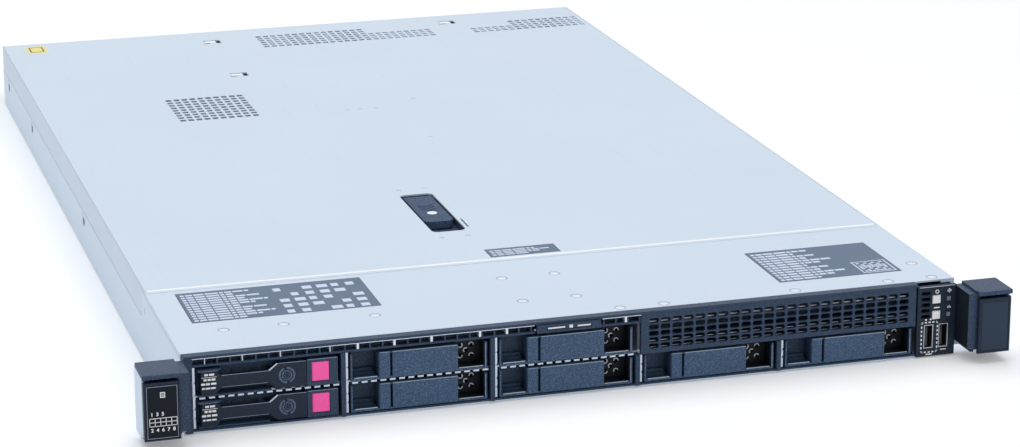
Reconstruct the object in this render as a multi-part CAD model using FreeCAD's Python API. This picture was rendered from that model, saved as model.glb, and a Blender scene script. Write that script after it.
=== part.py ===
import FreeCAD, Part
import math
import os
from FreeCAD import Vector

# 1U rack server: 19-inch chassis, eight small-form-factor drive bays, sliding top cover.
# Millimetres. +X to the right seen from the front, +Y to the rear, +Z up.
# Origin: underside of the chassis, middle of its width, rear face of the rack flanges.

# ---------------------------------------------------------------- driving dimensions
rack_hole_span = 465.1    # hole to hole of a 19-inch rack
rack_hole_edge = 8.75     # rack hole to the outer edge of an ear
rack_clear = 15.25        # rack hole to the chassis's side wall
rack_width = rack_hole_span + 2 * rack_hole_edge
body_width = rack_hole_span - 2 * rack_clear
half = body_width / 2
body_height = 42.9        # one rack unit less its clearance
body_depth = 702.0        # front edge of the sheet metal to the rear panel
sheet = 1.0               # steel sheet of chassis, cover, hood and cage
bezel_proud = 5.0         # front face of bezel, carriers and blanks ahead of the sheet metal

slide_gap = 0.3           # between pieces that slide past each other
snap_gap = 0.3            # round a piece that presses or snaps in
pin_clearance = 0.05      # radial, pin in its bore

hood_depth = 101.8        # fixed top sheet over the drive cage
hood_lip = 2.4            # height of the hood's side lips
cover_seam = 0.4          # gap between hood and sliding cover
cover_travel = 12.0       # backward slide that frees the cover
hood_tongue = cover_travel / 2   # reach of the hood's tongue under the cover
cover_flange_start = 116.5
cover_flange_low = 26.1   # lower edge of the cover's side flanges
cover_rear_gap = 0.4      # cover stops short of the chassis depth
vent_pitch = 5.5
vent_slot = 3.9
rear_vent_reach = 61.0    # front edge of the rear vents from the rear end of the chassis
inlet_vent_reach = 249.0
inlet_vent_depth = 60.0
dimple_radius = 1.7
dimple_depth = 0.25

wall_flange = 8.0         # inward flange along the top of each side wall
rail_slot_rows = (body_depth - 376.0, body_depth - 148.5, body_depth - 29.0)
rail_slot_z = 19.5
rail_slot_bar = 9.5
rail_slot_stem = 5.0
rail_slot_reach = 6.0
rail_slot_width = 1.5

io_width = 22.8
io_right = half - 0.9     # front I/O panel, at the right-hand end
io_left = io_right - io_width
first_column = -half + 5.3   # left cage wall
columns = 5
last_column = io_left + 1.4
column_pitch = (last_column - first_column) / columns
stacked_columns = 3       # columns with two bays, the rest have the wide bay above
row_pitch = 17.4
cage_sheet = 1.2
cage_top = 37.2
face_height = 14.6        # front face of a carrier or blank
face_low = 2.7            # lower edge of the bottom row's faces
cage_edge_back = 0.6      # cage wall edges lie this far behind the bezel face
shelf_edge_back = 1.2
shelf_notch_back = 0.4    # notches stop this far ahead of the sheet metal
edge_teeth = 16           # notches along each shelf edge

post_width = 2.5          # bezel posts beside the cage walls
strip_low = 36.4          # slotted strip over the bays
strip_rail = 1.2
strip_bar = 1.0
strip_bars = 12
bezel_top_bar = 1.5
bezel_right = io_left - snap_gap

bay_face_left = 2.6       # carrier or blank edge, from the cage wall's left face
bay_face_width = column_pitch - 7.0
disk_side_gap = 2.275     # rails between a disk and the bay's edges
disk_width = bay_face_width - 2 * disk_side_gap
disk_depth = 100.45
disk_height = 15.0
disk_start = 14.0
drive_socket_depth = 5.55    # room for the socket between a disk and the backplane
cage_depth = disk_start + disk_depth + drive_socket_depth
rail_thickness = 2.1
rail_depth = cage_depth - 12.0

lever_pad_end = 15.0      # carrier lever: label pad, narrow bar, flared grip
lever_end = column_pitch - 21.2
lever_bar_end = lever_end - 20.0
lever_flare_end = lever_end - 15.5
lever_bar_low = 4.3
lever_bar_high = 10.8
lever_thickness = 2.6
lever_pin_radius = 0.7
lever_ring_x = lever_end - 10.4
lever_ring_radius = 4.5
carrier_button_left = lever_end + 3.0
carrier_button_width = 9.1
carrier_button_height = 10.3
carrier_button_low = 2.5
carrier_button_depth = 4.2
carrier_button_travel = 1.5
carrier_face_depth = 8.0

blank_pocket_left = 0.9   # blank's finger pocket and its other features, from its left edge
blank_pocket_right = 15.2
blank_post_left = 15.5
blank_post_right = 21.2
blank_plate_left = 22.6
blank_plate_right = bay_face_width - 16.2
blank_hole_pocket_right = bay_face_width - 1.2
blank_wall = 1.0
blank_pocket_depth = 10.5
blank_depth = 12.5
blank_rail_depth = 66.0

info_tab_left = first_column + 2 * column_pitch + 22.9
info_tab_width = 35.6
info_tab_low = 36.8
info_tab_height = 4.2
info_tab_proud = 1.5
info_tab_tongue = 50.0

media_left = first_column + stacked_columns * column_pitch + 0.4
media_right = io_left - 1.0
media_low = 18.8
media_high = 41.1
media_holes_across = 23
media_holes_up = 5
media_hole_width = 5.5
media_hole_height = 2.85
media_margin = 3.87       # between the grille and the ends of the plate
media_pitch_x = (media_right - media_left - 2 * media_margin) / media_holes_across
media_pitch_z = 3.58
media_face = 2.5
media_box_depth = 24.0

io_low = 0.4
io_high = 41.0
io_face = 2.4
io_box_depth = 16.0
io_button_size = 5.0
io_button_x = io_left + 11.5
power_button_z = 33.0
locator_button_z = 23.9
io_button_travel = 0.8
usb_width = 5.6
usb_height = 13.6
usb_x = (io_left + 7.2, io_left + 16.0)
usb_z = 11.8
board = 1.6               # thickness of every circuit board

ear_flange = 2.0
ear_low = 4.5
ear_high = 41.5
ear_depth = 24.0          # front face of the ear ahead of the rack flange's rear face
ear_post_right = half + 4.2
ear_post_depth = 21.0
ear_post_low = 8.5
ear_post_high = 40.0
ear_cap = 2.3
ear_wall = 1.5
ear_lever_low = 5.7
ear_lever_high = 37.4
ear_lever_face = 2.4
ear_panel_rim = 1.0       # rim round the recess that holds the lever's printed panel
ear_panel_recess = 0.5
ear_hinge_y = -19.4
ear_hinge_z = 8.8
ear_hinge_radius = 2.2
ear_pin_radius = 1.0
rack_screw_radius = 2.5   # M5
rack_screw_start = 0.5     # thread begins this far behind the flange, after a thinner neck
rack_screw_reach = 8.5
rack_screw_neck = 2.1
rack_knob_radius = 5.0
rack_knob_depth = 7.0
ear_leg_depth = 30.0

latch_x = -26.25
latch_lever_width = 17.5
latch_lever_front = 187.0
latch_pivot_y = 240.3
latch_pivot_drop = 2.6    # below the cover's top face
latch_pin_radius = 1.0
latch_barrel = 2.1
latch_recess_front = 165.5
latch_recess_rear = 244.5
latch_recess_width = 20.5
tray_depth = 5.7
tray_rim = 2.0
lock_y = 205.0
lock_radius = 3.0
cam_width = 4.5
cam_reach = 7.3
cam_thickness = 2.3
catch_stud_radius = 1.5
catch_gap = 0.5

fan_count = 7
fan_pitch = (body_width - 21.6) / fan_count
fan_size = 40.0
fan_depth = 56.0
fan_front = 262.0
fan_bore_radius = 18.7
fan_tip_gap = 0.5
fan_hub_radius = 8.0
fan_blades = 5
fan_blade_length = 22.0
fan_blade_rise = 13.0     # a blade climbs this far round the hub along its length
fan_blade_thickness = 1.5
fan_shaft_radius = 1.5

board_height = 6.0        # underside of the system board above the chassis underside
board_front = fan_front + fan_depth + 7.0
board_right = half - 5.3
board_rear_gap = 4.0
standoff_radius = 3.0
screw_radius = 1.5
screw_head_radius = 2.8
screw_head = 1.8
rivet_recess = 0.4        # rivet heads lie in shallow recesses of the hood
rivet_head = 0.3

psu_width = 70.5
psu_height = 39.0
psu_depth = 190.0
psu_pitch = 72.0
psu_count = 2
psu_first = -half + 2.9
psu_proud = 1.0
psu_divider = 0.8
psu_handle_offset = 10.4
psu_handle_width = 8.0
psu_handle_reach = 24.0
psu_handle_bar = 4.5
psu_handle_low = 5.0
psu_handle_high = 37.5
psu_latch_offset = 22.0
psu_latch_low = 13.0
psu_latch_high = 29.0
psu_latch_reach = 13.0
psu_latch_thickness = 2.4
psu_latch_inside = 14.0

psu_front = body_depth + psu_proud - psu_depth
heat_sink_front = board_front + 10.0
heat_sink_rear_gap = 74.0    # from the heat sinks to the power supplies
heat_sink_depth = psu_front - heat_sink_rear_gap - heat_sink_front
heat_sink_height = 24.0
heat_sink_fins = 15
memory_height = 26.0
memory_front = board_front + 8.5
memory_rear_gap = 46.5       # from the memory modules to the power supplies
memory_length = psu_front - memory_rear_gap - memory_front
memory_thickness = 3.2
memory_pitch = 9.2
memory_side = 9.5         # board edge to the outer memory modules
memory_left = -board_right + memory_side
memory_middle = -50.6
memory_right = board_right - 55.5
side_module_count = 6
middle_module_count = 12
memory_groups = ((memory_left, side_module_count), (memory_middle, middle_module_count),
                 (memory_right, side_module_count))
memory_left_end = memory_left + (side_module_count - 1) * memory_pitch + memory_thickness
baffle_wall_x = memory_left_end + 12.8    # inner walls of the duct, beside the outer modules
heat_sink_left = memory_left_end + 16.3
heat_sink_width = memory_middle - 8.4 - heat_sink_left
heat_sink_centre = -heat_sink_left - heat_sink_width / 2
heat_sink_x = (-heat_sink_centre, heat_sink_centre)
baffle_height = 35.8
baffle_sheet = 1.4
baffle_rear_gap = 38.0       # from the duct to the power supplies

psu_right = psu_first + (psu_count - 1) * psu_pitch + psu_width
card_slots = ((psu_right + 9.9, psu_right + 123.9), (half - 121.3, half - 13.3))
card_low = 24.0
card_high = 39.0

thumb_radius = 4.5
thumb_length = 14.0

port_height = 13.5
first_jack = psu_right + 10.9        # left edge of the bank of four network jacks
lone_jack = psu_right + 83.9
usb_block = (psu_right + 107.9, psu_right + 121.9)
video_left = psu_right + 127.9
video_width = 34.0
port_depth = 21.0
jack_pitch = 16.2
jack_hole_width = 12.0
jack_hole_height = 8.6
jack_hole_depth = 15.0

# ---------------------------------------------------------------- worked out from them
roof = body_height - sheet                 # underside of cover and hood
face_y = -bezel_proud
joggle = cover_flange_low - slide_gap      # side walls step inboard above this height
inner_wall = half - sheet - slide_gap      # outer face of a side wall above the step
flange_top = roof - slide_gap
rear_inside = body_depth - sheet
stacked_right = first_column + stacked_columns * column_pitch
fan_axis_z = sheet + fan_size / 2
board_top = board_height + board
latch_pivot_z = body_height - latch_pivot_drop
floor_lip_front = face_y + 1.5             # the floor reaches forward under the bezel
shelf_low = face_low - 0.7 + row_pitch - sheet
cage_floor = face_low - 0.7
ear_outer = rack_width / 2


# ---------------------------------------------------------------- helpers
def block(x0, x1, y0, y1, z0, z1):
    """Solid box between two corners."""
    return Part.makeBox(x1 - x0, y1 - y0, z1 - z0, Vector(x0, y0, z0))


def rod(radius, start, axis, length):
    """Solid cylinder from a start point along an axis."""
    return Part.makeCylinder(radius, length, Vector(*start), Vector(*axis))


def prism(radius, start, axis, length, sides=12):
    """Many-sided rod for hexagon heads and for round parts too small to need a cylinder."""
    turn = FreeCAD.Rotation(Vector(0, 0, 1), Vector(*axis))
    corners = []
    for k in range(sides):
        angle = 2 * math.pi * k / sides
        spoke = Vector(radius * math.cos(angle), radius * math.sin(angle), 0)
        corners.append(Vector(*start) + turn.multVec(spoke))
    return Part.Face(Part.makePolygon(corners + corners[:1])).extrude(
        turn.multVec(Vector(0, 0, length)))


def joined(pieces):
    """One solid from touching or overlapping pieces."""
    first = pieces[0]
    return first.fuse(pieces[1:]).removeSplitter() if len(pieces) > 1 else first


def carved(shape, tools):
    """The shape with every tool taken out of it."""
    return shape.cut(Part.makeCompound(tools))


def plate(points, normal):
    """Flat polygon pushed along a vector into a solid."""
    corners = [Vector(*p) for p in points]
    return Part.Face(Part.makePolygon(corners + corners[:1])).extrude(Vector(*normal))


def mirrored(shape):
    """The same piece for the other side of the server."""
    return shape.mirror(Vector(0, 0, 0), Vector(1, 0, 0))


def column_left(column):
    return first_column + column * column_pitch


def bay_corner(bay):
    """Left edge and lower edge of a bay's front face; odd bays of the first six are on top."""
    if bay <= 2 * stacked_columns:
        column, row = (bay - 1) // 2, bay % 2
    else:
        column, row = stacked_columns + bay - 2 * stacked_columns - 1, 0
    return column_left(column) + bay_face_left, face_low + row * row_pitch


# ---------------------------------------------------------------- chassis
def side_wall():
    """Right side wall: outer skin low down, stepped inboard under the cover's flange."""
    lip_top = body_height - hood_lip
    pieces = [
        block(half - sheet, half, 0, rear_inside, 0, joggle),
        block(half - sheet, half, 0, hood_depth, 0, lip_top - slide_gap),
        block(half - sheet, half, hood_depth, cover_flange_start - slide_gap, 0, flange_top),
        block(half - 2 * sheet, half - sheet, 0, hood_depth, lip_top - 2, roof),
        block(half - wall_flange, half - sheet, 0, hood_depth, roof - sheet, roof),
        block(half - 2 * sheet, half - sheet, hood_depth - sheet, hood_depth + 2 * sheet,
              lip_top - 2, flange_top),
        block(inner_wall - sheet, half, cover_flange_start - slide_gap, rear_inside,
              joggle - sheet, joggle),
        block(inner_wall - sheet, inner_wall, cover_flange_start - slide_gap - sheet, rear_inside,
              joggle - sheet, flange_top),
        block(inner_wall - sheet, half, cover_flange_start - slide_gap - sheet,
              cover_flange_start - slide_gap, joggle - sheet, flange_top),
        block(half - wall_flange, inner_wall, cover_flange_start - slide_gap, rear_inside,
              flange_top - sheet, flange_top),
    ]
    wall = joined(pieces)
    slots = []
    for y in rail_slot_rows:
        slots.append(block(half - 2 * sheet, half + sheet, y, y + rail_slot_width,
                           rail_slot_z - rail_slot_bar / 2, rail_slot_z + rail_slot_bar / 2))
        slots.append(block(half - 2 * sheet, half + sheet, y - rail_slot_reach, y,
                           rail_slot_z - rail_slot_stem / 2, rail_slot_z + rail_slot_stem / 2))
    slots.append(block(half - 2 * sheet, half + sheet, hood_depth + 3, hood_depth + 4, 30, 34))
    return carved(wall, slots)


def standoff_places():
    """Screw positions of the system board."""
    back = rear_inside - port_depth - 15
    left_back, right = psu_right + 12, board_right - 22
    front, middle = board_front + screw_head_radius + 0.7, psu_front - 40
    return [(-right, front), (0, front), (right, front), (-right, middle), (0, middle),
            (right, middle), (left_back, back), (left_back, back - 108), (right, back),
            (right, back - 108)]


def chassis_pan():
    wall = side_wall()
    pieces = [block(-half, half, 0, rear_inside, 0, sheet),
              block(first_column, io_left, floor_lip_front, 0, 0, sheet), wall, mirrored(wall)]
    for x, y in standoff_places():
        pieces.append(prism(standoff_radius, (x, y, 0), (0, 0, 1), board_height, 6))
    for n in range(psu_count):
        right = psu_first + n * psu_pitch + psu_width
        pieces.append(block(right + snap_gap, right + snap_gap + psu_divider,
                            rear_inside - psu_depth, rear_inside, 0, psu_height))
    post = cover_catch()
    pieces.append(post)
    pan = joined(pieces)
    holes = [prism(screw_radius, (x, y, sheet), (0, 0, 1), board_top, 8)
             for x, y in standoff_places()]
    return carved(pan, holes)


def cover_catch():
    """Upright fork on the chassis floor with the stud that the latch's cam pushes against."""
    gap = cam_width / 2 + 2.5
    top = roof - tray_depth - slide_gap - 0.3
    low, high = stud_y() - 6, stud_y() + 5
    pieces = [block(latch_x - gap - 1.5, latch_x + gap + 1.5, low, high, 0, 2 * sheet)]
    for side in (-1, 1):
        inner, outer = sorted((latch_x + side * gap, latch_x + side * (gap + 1.5)))
        pieces.append(block(inner, outer, low, high, 0, top))
    pieces.append(rod(catch_stud_radius, (latch_x - gap - 1, stud_y(), stud_z()), (1, 0, 0),
                      2 * gap + 2))
    return joined(pieces)


def stud_y():
    return latch_pivot_y - latch_barrel - catch_gap - catch_stud_radius


def stud_z():
    return latch_pivot_z - cam_reach + 0.9


def hood_rivet_places():
    """Rivets across the hood in three rows, given as shares of its half width and its depth."""
    rows = ((0.707, (-0.104, 0.037)),
            (0.304, (-0.865, -0.716, -0.486, -0.106, 0.035, 0.946)),
            (0.049, (0.11, 0.225, 0.575, 0.828, 0.948)))
    return [(share * half, depth * hood_depth) for depth, shares in rows for share in shares]


def front_hood():
    lip_low = body_height - hood_lip
    pieces = [block(-half, half, 0, hood_depth, roof, body_height),
              block(-half + 12, half - 12, hood_depth - 8, hood_depth + hood_tongue,
                    roof - slide_gap - sheet, roof - slide_gap),
              block(-half + 12, half - 12, hood_depth - 8, hood_depth - 1,
                    roof - slide_gap - sheet, roof + sheet / 2)]
    for low, high in ((-half, -half + sheet), (half - sheet, half)):
        pieces.append(block(low, high, 0, hood_depth, lip_low, body_height))
    hood = joined(pieces)
    recesses = [prism(screw_head_radius, (x, y, body_height - rivet_recess), (0, 0, 1), 1)
                for x, y in hood_rivet_places()]
    return carved(hood, recesses)


def hood_rivets():
    return Part.makeCompound([
        prism(screw_head_radius, (x, y, body_height - rivet_recess), (0, 0, 1), rivet_head)
        for x, y in hood_rivet_places()])


def vent_slots(x0, x1, y0, y1):
    """Perforation between two corners: a row of slots, as the boxes to take out of the cover."""
    across = int(round((x1 - x0) / vent_pitch))
    pitch = (x1 - x0) / across
    web = (vent_pitch - vent_slot) / 2
    return [block(x0 + n * pitch + web, x0 + (n + 1) * pitch - web, y0 + web, y1 - web,
                  roof - sheet, body_height + sheet) for n in range(across)]


def cover_vents():
    """Vent over the power supplies' inlet, and two along the rear with their stepped outlines."""
    back = body_depth - rear_vent_reach
    inlet = body_depth - inlet_vent_reach
    tools = []
    for corners in ((psu_right - 60.1, psu_right - 5.1, inlet, inlet + inlet_vent_depth),
                    (psu_right + 37.9, psu_right + 120.4, back, back + 37),
                    (psu_right + 120.4, psu_right + 169.4, back, back + 22),
                    (half - 91.3, half - 58.3, back, back + 15),
                    (half - 58.3, half - 3.3, back, back + 30)):
        tools += vent_slots(*corners)
    return tools


def hook_slots():
    """L-shaped slots left by the lanced hooks that catch the chassis."""
    tools = []
    for x, y in ((psu_right + 4.9, body_depth - 30), (psu_right + 3.9, body_depth - 132),
                 (half - 102.3, body_depth - 21)):
        for left, right, front, back in ((-6, 6, 0, 2.4), (2.6, 6, -7, 0), (-7, -2, -7, -5.2)):
            tools.append(block(x + left, x + right, y + front, y + back, roof - sheet,
                               body_height + sheet))
    return tools


def access_cover():
    """Top sheet with a side rail welded under each edge."""
    rear = body_depth - cover_rear_gap
    cover = block(-half, half, hood_depth + cover_seam, rear, roof, body_height)
    rails = [block(low, low + sheet, cover_flange_start, rear_inside - sheet, cover_flange_low, roof)
             for low in (-half, half - sheet)]
    side = latch_recess_width / 2
    opening = block(latch_x - side, latch_x + side, latch_recess_front, latch_recess_rear,
                    roof - sheet, body_height + sheet)
    corners = [e for e in opening.Edges if abs(e.tangentAt(e.FirstParameter).z) > 0.9]
    opening = opening.makeFillet(4.0, corners)
    slit = block(latch_x + side + 2, latch_x + side + 3, latch_recess_front + 5.5,
                 latch_recess_front + 22.5, roof - sheet, body_height + sheet)
    dimples = []
    for across, behind in ((-7.5, 14.7), (8.2, 14.7), (-8.1, -86.3), (7.8, -86.3), (8.2, 209.7),
                           (17.2, 209.7), (27.6, 209.7), (58.2, 226.7), (43.8, 127.7)):
        dimples.append(prism(dimple_radius, (latch_x + across, latch_pivot_y + behind,
                                             body_height - dimple_depth), (0, 0, 1), 1, 8))
    return Part.makeCompound([carved(cover, [opening, slit] + cover_vents() + hook_slots() + dimples)]
                             + rails)


def latch_tray():
    side = latch_recess_width / 2 + tray_rim
    front, rear = latch_recess_front - tray_rim, latch_recess_rear + tray_rim
    tray = block(latch_x - side, latch_x + side, front, rear, roof - tray_depth, roof)
    inner = block(latch_x - side + 1, latch_x + side - 1, front + 1, rear - 1,
                  roof - tray_depth + 1, roof + 1)
    cam_slot = block(latch_x - cam_width / 2 - 0.6, latch_x + cam_width / 2 + 0.6,
                     latch_pivot_y - cam_reach - 3, latch_pivot_y + 2.5,
                     roof - tray_depth - 1, roof - tray_depth + 2)
    pin = rod(latch_pin_radius, (latch_x - side - 1, latch_pivot_y, latch_pivot_z), (1, 0, 0),
              2 * side + 2)
    return carved(tray, [inner, cam_slot, pin])


def latch_pin():
    side = latch_recess_width / 2 + tray_rim
    return rod(latch_pin_radius, (latch_x - side, latch_pivot_y, latch_pivot_z), (1, 0, 0), 2 * side)


def latch_lever():
    left, right = latch_x - latch_lever_width / 2, latch_x + latch_lever_width / 2
    top = body_height - 0.3
    low = latch_pivot_z - latch_barrel
    body = block(left, right, latch_lever_front, latch_pivot_y, low, top)
    front_corners = [e for e in body.Edges
                     if abs(e.tangentAt(e.FirstParameter).z) > 0.9
                     and e.CenterOfMass.y < latch_lever_front + 1]
    body = body.makeFillet(4.0, front_corners)
    barrel = rod(latch_barrel, (left, latch_pivot_y, latch_pivot_z), (1, 0, 0), latch_lever_width)
    cam = block(latch_x - cam_width / 2, latch_x + cam_width / 2, latch_pivot_y - latch_barrel,
                latch_pivot_y - latch_barrel + cam_thickness, latch_pivot_z - cam_reach,
                latch_pivot_z)
    under = block(left + 1.6, right - 1.6, lock_y + 8, latch_pivot_y - 6, low - 1, low + 1.6)
    bore = rod(latch_pin_radius + pin_clearance, (left - 1, latch_pivot_y, latch_pivot_z),
               (1, 0, 0), latch_lever_width + 2)
    lock_hole = rod(lock_radius + pin_clearance, (latch_x, lock_y, low - 1), (0, 0, 1), 8)
    steps = [plate([(left + 4, y, top - 0.5), (latch_x, y - 3, top - 0.5), (right - 4, y, top - 0.5),
                    (right - 4, y + 1.2, top - 0.5), (latch_x, y - 1.8, top - 0.5),
                    (left + 4, y + 1.2, top - 0.5)], (0, 0, 1))
             for y in (lock_y + 8, lock_y + 12, lock_y + 16)]
    return carved(joined([body, barrel, cam]), [under, bore, lock_hole] + steps)


def latch_lock():
    low = latch_pivot_z - latch_barrel
    height = body_height - 0.3 - low
    lock = rod(lock_radius, (latch_x, lock_y, low), (0, 0, 1), height)
    slot = block(latch_x - 2, latch_x + 2, lock_y - 0.5, lock_y + 0.5, low + height - 1.2,
                 low + height + 1)
    return lock.cut(slot)


# ---------------------------------------------------------------- drive cage and bezel
def cage_edge_notches():
    """Small steps in the visible front edges of the cage walls."""
    tools = []
    for column in range(columns):
        x = column_left(column)
        heights = (8.0, 12.5) if column >= stacked_columns else (8.0, 13.0, 20.5, 27.5)
        for z in heights:
            tools.append(block(x - 1, x + cage_sheet + 1, face_y - 1, face_y + 1.6, z, z + 1.1))
    return tools


def shelf_notches():
    tools = []
    pitch = column_pitch / edge_teeth
    for column in range(stacked_columns):
        for n in range(edge_teeth):
            x = column_left(column) + (n + 0.5) * pitch
            tools.append(block(x - 1, x + 1, face_y, -shelf_notch_back, shelf_low - 1,
                               shelf_low + 2))
    return tools


def drive_cage():
    edge = face_y + cage_edge_back
    pieces = [block(first_column, last_column + cage_sheet, 0, cage_depth, sheet, cage_floor),
              block(first_column, last_column + cage_sheet, 0, cage_depth, shelf_low,
                    shelf_low + sheet),
              block(first_column, stacked_right + cage_sheet, 0, cage_depth, cage_top - sheet,
                    cage_top)]
    for column in range(columns + 1):
        x = column_left(column)
        tall = column <= stacked_columns
        top = cage_top if tall else shelf_low + sheet
        if column == columns:
            top = io_high - 1
        pieces.append(block(x, x + cage_sheet, 0, cage_depth, sheet, top))
        if column < columns:
            front_top = strip_low - 0.2 if column < stacked_columns else media_low - 0.6
            pieces.append(block(x, x + cage_sheet, edge, 0, face_low + 0.2, front_top))
        if column < stacked_columns:
            pieces.append(block(x + cage_sheet, x + column_pitch - post_width - 0.6,
                                face_y + shelf_edge_back, 0, shelf_low, shelf_low + sheet))
    return carved(joined(pieces), cage_edge_notches() + shelf_notches())


def front_bezel():
    left = -half + 0.9
    top = body_height - 0.2
    back = face_y + 2.7
    bar_low = top - bezel_top_bar
    pieces = [block(left, bezel_right, face_y, 0, bar_low, top),
              block(first_column - 0.3, bezel_right, face_y + 0.8, 0, sheet, cage_floor),
              block(left, first_column - 0.3, face_y + 0.4, back, 0.3, top),
              block(first_column - 0.3, stacked_right - 0.2, face_y + 0.6, 0, strip_low,
                    strip_low + strip_rail)]
    pitch = column_pitch / strip_bars
    for n in range(stacked_columns * strip_bars + 1):
        x = first_column + n * pitch - 0.2
        pieces.append(block(x - strip_bar / 2, x + strip_bar / 2, face_y + 0.8, -1.2, strip_low,
                            top))
    for column in range(1, columns):
        x = column_left(column)
        post_top = strip_low if column < stacked_columns else shelf_low - 0.2
        pieces.append(block(x - post_width - 0.1, x - 0.1, face_y, 0, sheet, post_top))
    frame = joined(pieces)
    gap = snap_gap + 0.2
    tab_slot = block(info_tab_left - gap, info_tab_left + info_tab_width + gap, face_y - 1, 1,
                     strip_low - 1, bar_low)
    return frame.cut(tab_slot)


def info_tab():
    right = info_tab_left + info_tab_width
    front = face_y - info_tab_proud
    pieces = [block(info_tab_left, right, front, front + 2.6, info_tab_low,
                    info_tab_low + info_tab_height),
              block(info_tab_left + 2, right - 2, front + 2.6, front + info_tab_tongue,
                    cage_top + slide_gap, cage_top + slide_gap + 1.6)]
    tab = joined(pieces)
    grip = block(info_tab_left + 5, right - 5, front - 1, front + 0.5, info_tab_low + 1.2,
                 info_tab_low + info_tab_height - 0.8)
    return tab.cut(grip)


def rounded_hole(x, z, width, height, y0, y1, corner=0.7):
    """Opening through a front face with its corners cut back."""
    w, h = width / 2, height / 2
    points = [(x - w, y0, z - h + corner), (x - w + corner, y0, z - h), (x + w - corner, y0, z - h),
              (x + w, y0, z - h + corner), (x + w, y0, z + h - corner), (x + w - corner, y0, z + h),
              (x - w + corner, y0, z + h), (x - w, y0, z + h - corner)]
    return plate(points, (0, y1 - y0, 0))


def media_bay_blank():
    pieces = [block(media_left, media_right, face_y, face_y + media_face, media_low, media_high),
              block(stacked_right + cage_sheet + snap_gap, last_column - snap_gap, face_y + media_face,
                    media_box_depth, shelf_low + sheet + snap_gap, media_high - 0.4)]
    shell = joined(pieces)
    hollow = block(stacked_right + cage_sheet + snap_gap + 1.4, last_column - snap_gap - 1.4,
                   face_y + media_face, media_box_depth + 1, shelf_low + sheet + snap_gap + 1.2,
                   media_high - 1.6)
    middle_x, middle_z = (media_left + media_right) / 2, (media_low + media_high) / 2
    holes = []
    for i in range(media_holes_across):
        x = middle_x + (i - (media_holes_across - 1) / 2) * media_pitch_x
        for j in range(media_holes_up):
            z = middle_z + (j - (media_holes_up - 1) / 2) * media_pitch_z
            holes.append(rounded_hole(x, z, media_hole_width, media_hole_height, face_y - 1,
                                      face_y + media_face + 1))
    return carved(shell, [hollow] + holes)


def drive_backplane():
    """Board behind the cage with a socket for every drive and air slots between them."""
    pieces = [block(first_column, last_column, cage_depth, cage_depth + board, 2 * sheet,
                    cage_top)]
    air = []
    disk_back = disk_start + disk_depth
    for bay in range(1, 9):
        left, low = bay_corner(bay)
        middle = left + bay_face_width / 2
        pieces.append(block(middle - 21, middle + 21, disk_back + snap_gap, cage_depth,
                            low + 3, low + 9))
        for x in (left + 3, left + bay_face_width - 13):
            air.append(block(x, x + 10, cage_depth - 1, cage_depth + board + 1, low + 2, low + 12))
    return carved(joined(pieces), air)


# ---------------------------------------------------------------- carriers and blanks
def button_window(left, low, gap=0.0):
    x = left - bay_face_left + carrier_button_left
    z = low + carrier_button_low
    return (x - gap, x + carrier_button_width + gap, z - gap, z + carrier_button_height + gap)


def lever_pin_place(left):
    return left + 2.4, face_y + lever_thickness / 2


def drive_carrier(bay):
    left, low = bay_corner(bay)
    right, high = left + bay_face_width, low + face_height
    origin = left - bay_face_left
    block_left = origin + lever_end + snap_gap
    back = face_y + carrier_face_depth
    pieces = [block(left, right, back - 1.5, back, low, high),
              block(block_left, right, face_y, back, low, high),
              block(left, origin + lever_bar_end, face_y + 0.2, back, low, low + 0.7),
              block(left, origin + lever_pad_end, face_y + 0.2, back, high - 0.7, high),
              block(left, left + rail_thickness, back - 1.5, rail_depth, low - 0.4, high),
              block(right - rail_thickness, right, back - 1.5, rail_depth, low - 0.4, high)]
    pin_x, pin_y = lever_pin_place(left)
    pieces.append(rod(lever_pin_radius, (pin_x, pin_y, low), (0, 0, 1), face_height))
    frame = joined(pieces)
    x0, x1, z0, z1 = button_window(left, low, snap_gap)
    room = carrier_button_depth + carrier_button_travel + slide_gap
    window = block(x0, x1, face_y - 1, face_y + room, z0, z1)
    air = [block(origin + 17 + 7 * n, origin + 21.5 + 7 * n, back - 2, back + 1, low + 3,
                 high - 3) for n in range(5)]
    screws = []
    for y in (disk_start + 14, disk_start + 90):
        for x in (left, right - rail_thickness):
            screws.append(prism(1.6, (x - 1, y, low + 3), (1, 0, 0), rail_thickness + 2, 8))
    return carved(frame, [window] + air + screws)


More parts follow.
